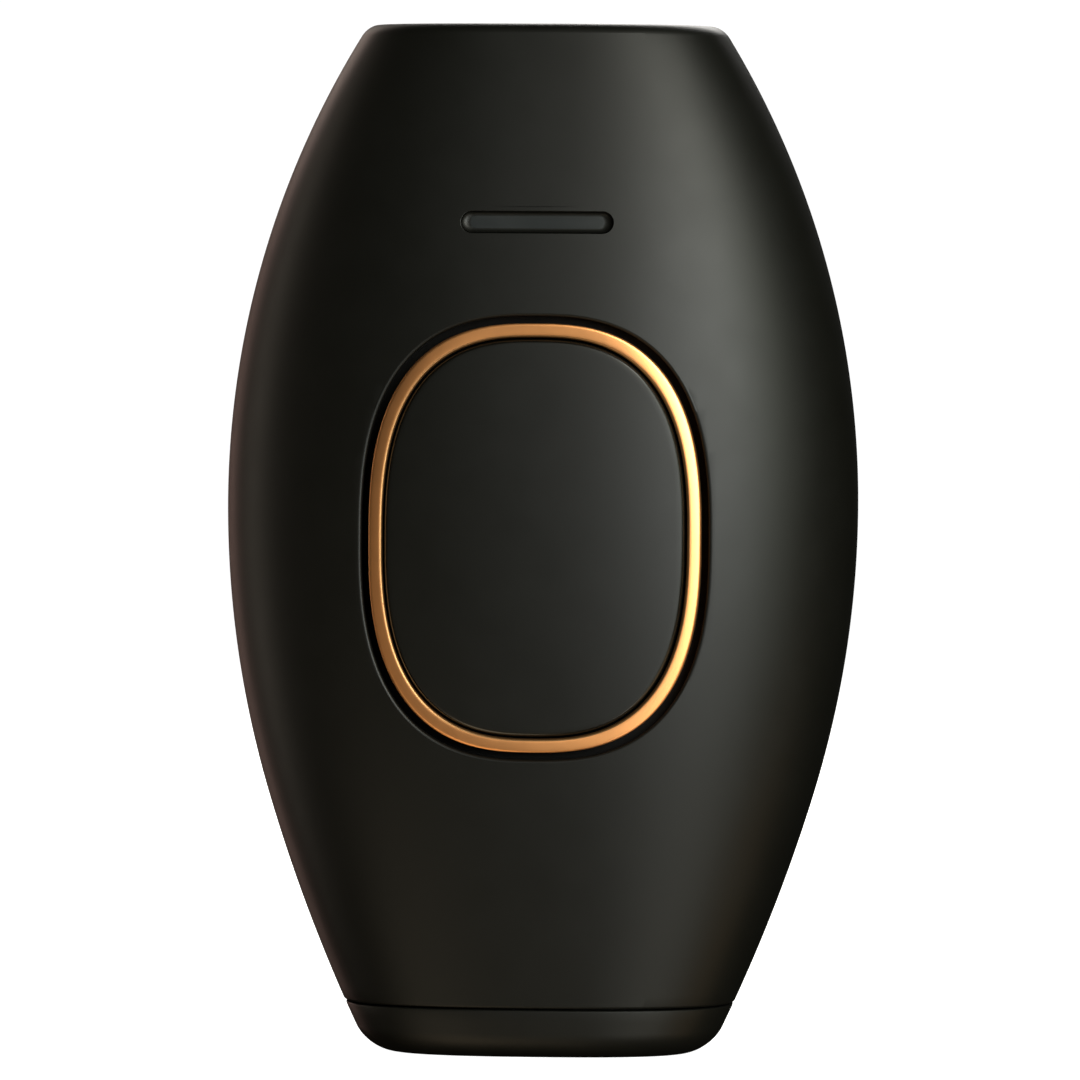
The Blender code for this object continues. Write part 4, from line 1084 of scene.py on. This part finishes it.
def floor():
    """A large pale floor with a slight mottle."""
    made = Nodes("pale_floor")
    mottle = made.blend(made.noise(400.0), (0.86, 0.86, 0.86), (0.88, 0.88, 0.88))
    made.join(mottle, made.shader.inputs["Base Color"])
    made.set(Roughness=0.9, Emission_Color=(1.0, 1.0, 1.0), Emission_Strength=1.02)
    edge = circle(FLOOR_RADIUS, (0.0, 0.0), 96)
    plane = loft([[(x, y, z) for x, y in edge] for z in (-FLOOR_THICKNESS, 0.0)])
    plane.name = "floor"
    plane.data.materials.append(made.material)
    plane.visible_glossy = False
    plane.visible_diffuse = False
    plane.visible_shadow = False


def surroundings():
    """White to the camera and black to everything else, so that only the lamps light the object."""
    world = bpy.data.worlds.new("studio")
    bpy.context.scene.world = world
    world.use_nodes = True
    tree = world.node_tree
    tree.nodes.clear()
    seen = tree.nodes.new("ShaderNodeBackground")
    seen.inputs["Color"].default_value = (1.0, 1.0, 1.0, 1.0)
    seen.inputs["Strength"].default_value = 1.05
    lit = tree.nodes.new("ShaderNodeBackground")
    lit.inputs["Color"].default_value = (0.0, 0.0, 0.0, 1.0)
    path = tree.nodes.new("ShaderNodeLightPath")
    mix = tree.nodes.new("ShaderNodeMixShader")
    out = tree.nodes.new("ShaderNodeOutputWorld")
    tree.links.new(path.outputs["Is Camera Ray"], mix.inputs["Fac"])
    tree.links.new(lit.outputs["Background"], mix.inputs[1])
    tree.links.new(seen.outputs["Background"], mix.inputs[2])
    tree.links.new(mix.outputs["Shader"], out.inputs["Surface"])


def lights():
    """Lamps by name, azimuth, elevation, kind, power and colour. The key side is the right."""
    for name, azimuth, elevation, kind, power, colour in (
        ("key", 33, 9, SOFTBOX, 5.8, (0.96, 1.0, 0.97)),
        ("high", 35, 30, SOFTBOX, 4.6, (1.0, 0.99, 0.86)),
        ("side_right", 52, 10, SOFTBOX, 1.1, (0.9, 1.0, 0.7)),
        ("low_right", 36, -32, SOFTBOX, 1.2, (1.0, 0.96, 0.82)),
        ("low_side", 75, -32, SOFTBOX, 0.45, (1.0, 0.64, 0.3)),
        ("low_left", -35, -32, SOFTBOX, 0.6, (1.0, 0.86, 0.64)),
        ("under", -35, -60, SOFTBOX, 0.9, (1.0, 0.78, 0.5)),
        ("side_left", -100, 5, STRIP, 0.8, (1.0, 0.87, 0.71)),
        ("back_left", -140, 5, STRIP, 0.46, (1.0, 0.64, 0.54)),
        ("rear", 170, 38, SOFTBOX, 4.5, (1.0, 0.98, 0.94)),
        ("rear_left", -145, 30, SOFTBOX, 1.0, (1.0, 0.85, 0.75)),
    ):
        area_light(name, azimuth, elevation, *kind, power, colour)


def camera():
    data = bpy.data.cameras.new("camera")
    data.lens = CAMERA_LENS
    data.sensor_width = 36.0
    data.clip_end = 20.0
    view = bpy.data.objects.new("camera", data)
    toward = direction(CAMERA_AZIMUTH, CAMERA_ELEVATION)
    view.location = (Vector(CAMERA_AIM) + toward * CAMERA_DISTANCE) * MM
    upright = (-toward).to_track_quat("-Z", "Y").to_matrix()
    view.rotation_euler = (upright @ Matrix.Rotation(math.radians(CAMERA_ROLL), 3, "Z")).to_euler()
    bpy.context.scene.collection.objects.link(view)
    bpy.context.scene.camera = view


for stray in list(bpy.data.objects):
    bpy.data.objects.remove(stray)
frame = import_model()
bpy.context.scene.view_settings.view_transform = "Standard"
FINISHES = {**dark_materials(), **light_materials(), **metals()}
camera()
finish_kept_nodes()
casing_front()
casing_rear()
casing_foot()
ring_band()
button_tub()
button_face()
for index, (pin_x, pin_z) in enumerate(GUIDE_PLACES):
    button_coil(index + 1, pin_x, pin_z)
display_lens()
flash_collar()
contact_strips()
filter_pane()
screws()
power_inlet()
fan_wheel()
floor()
surroundings()
lights()
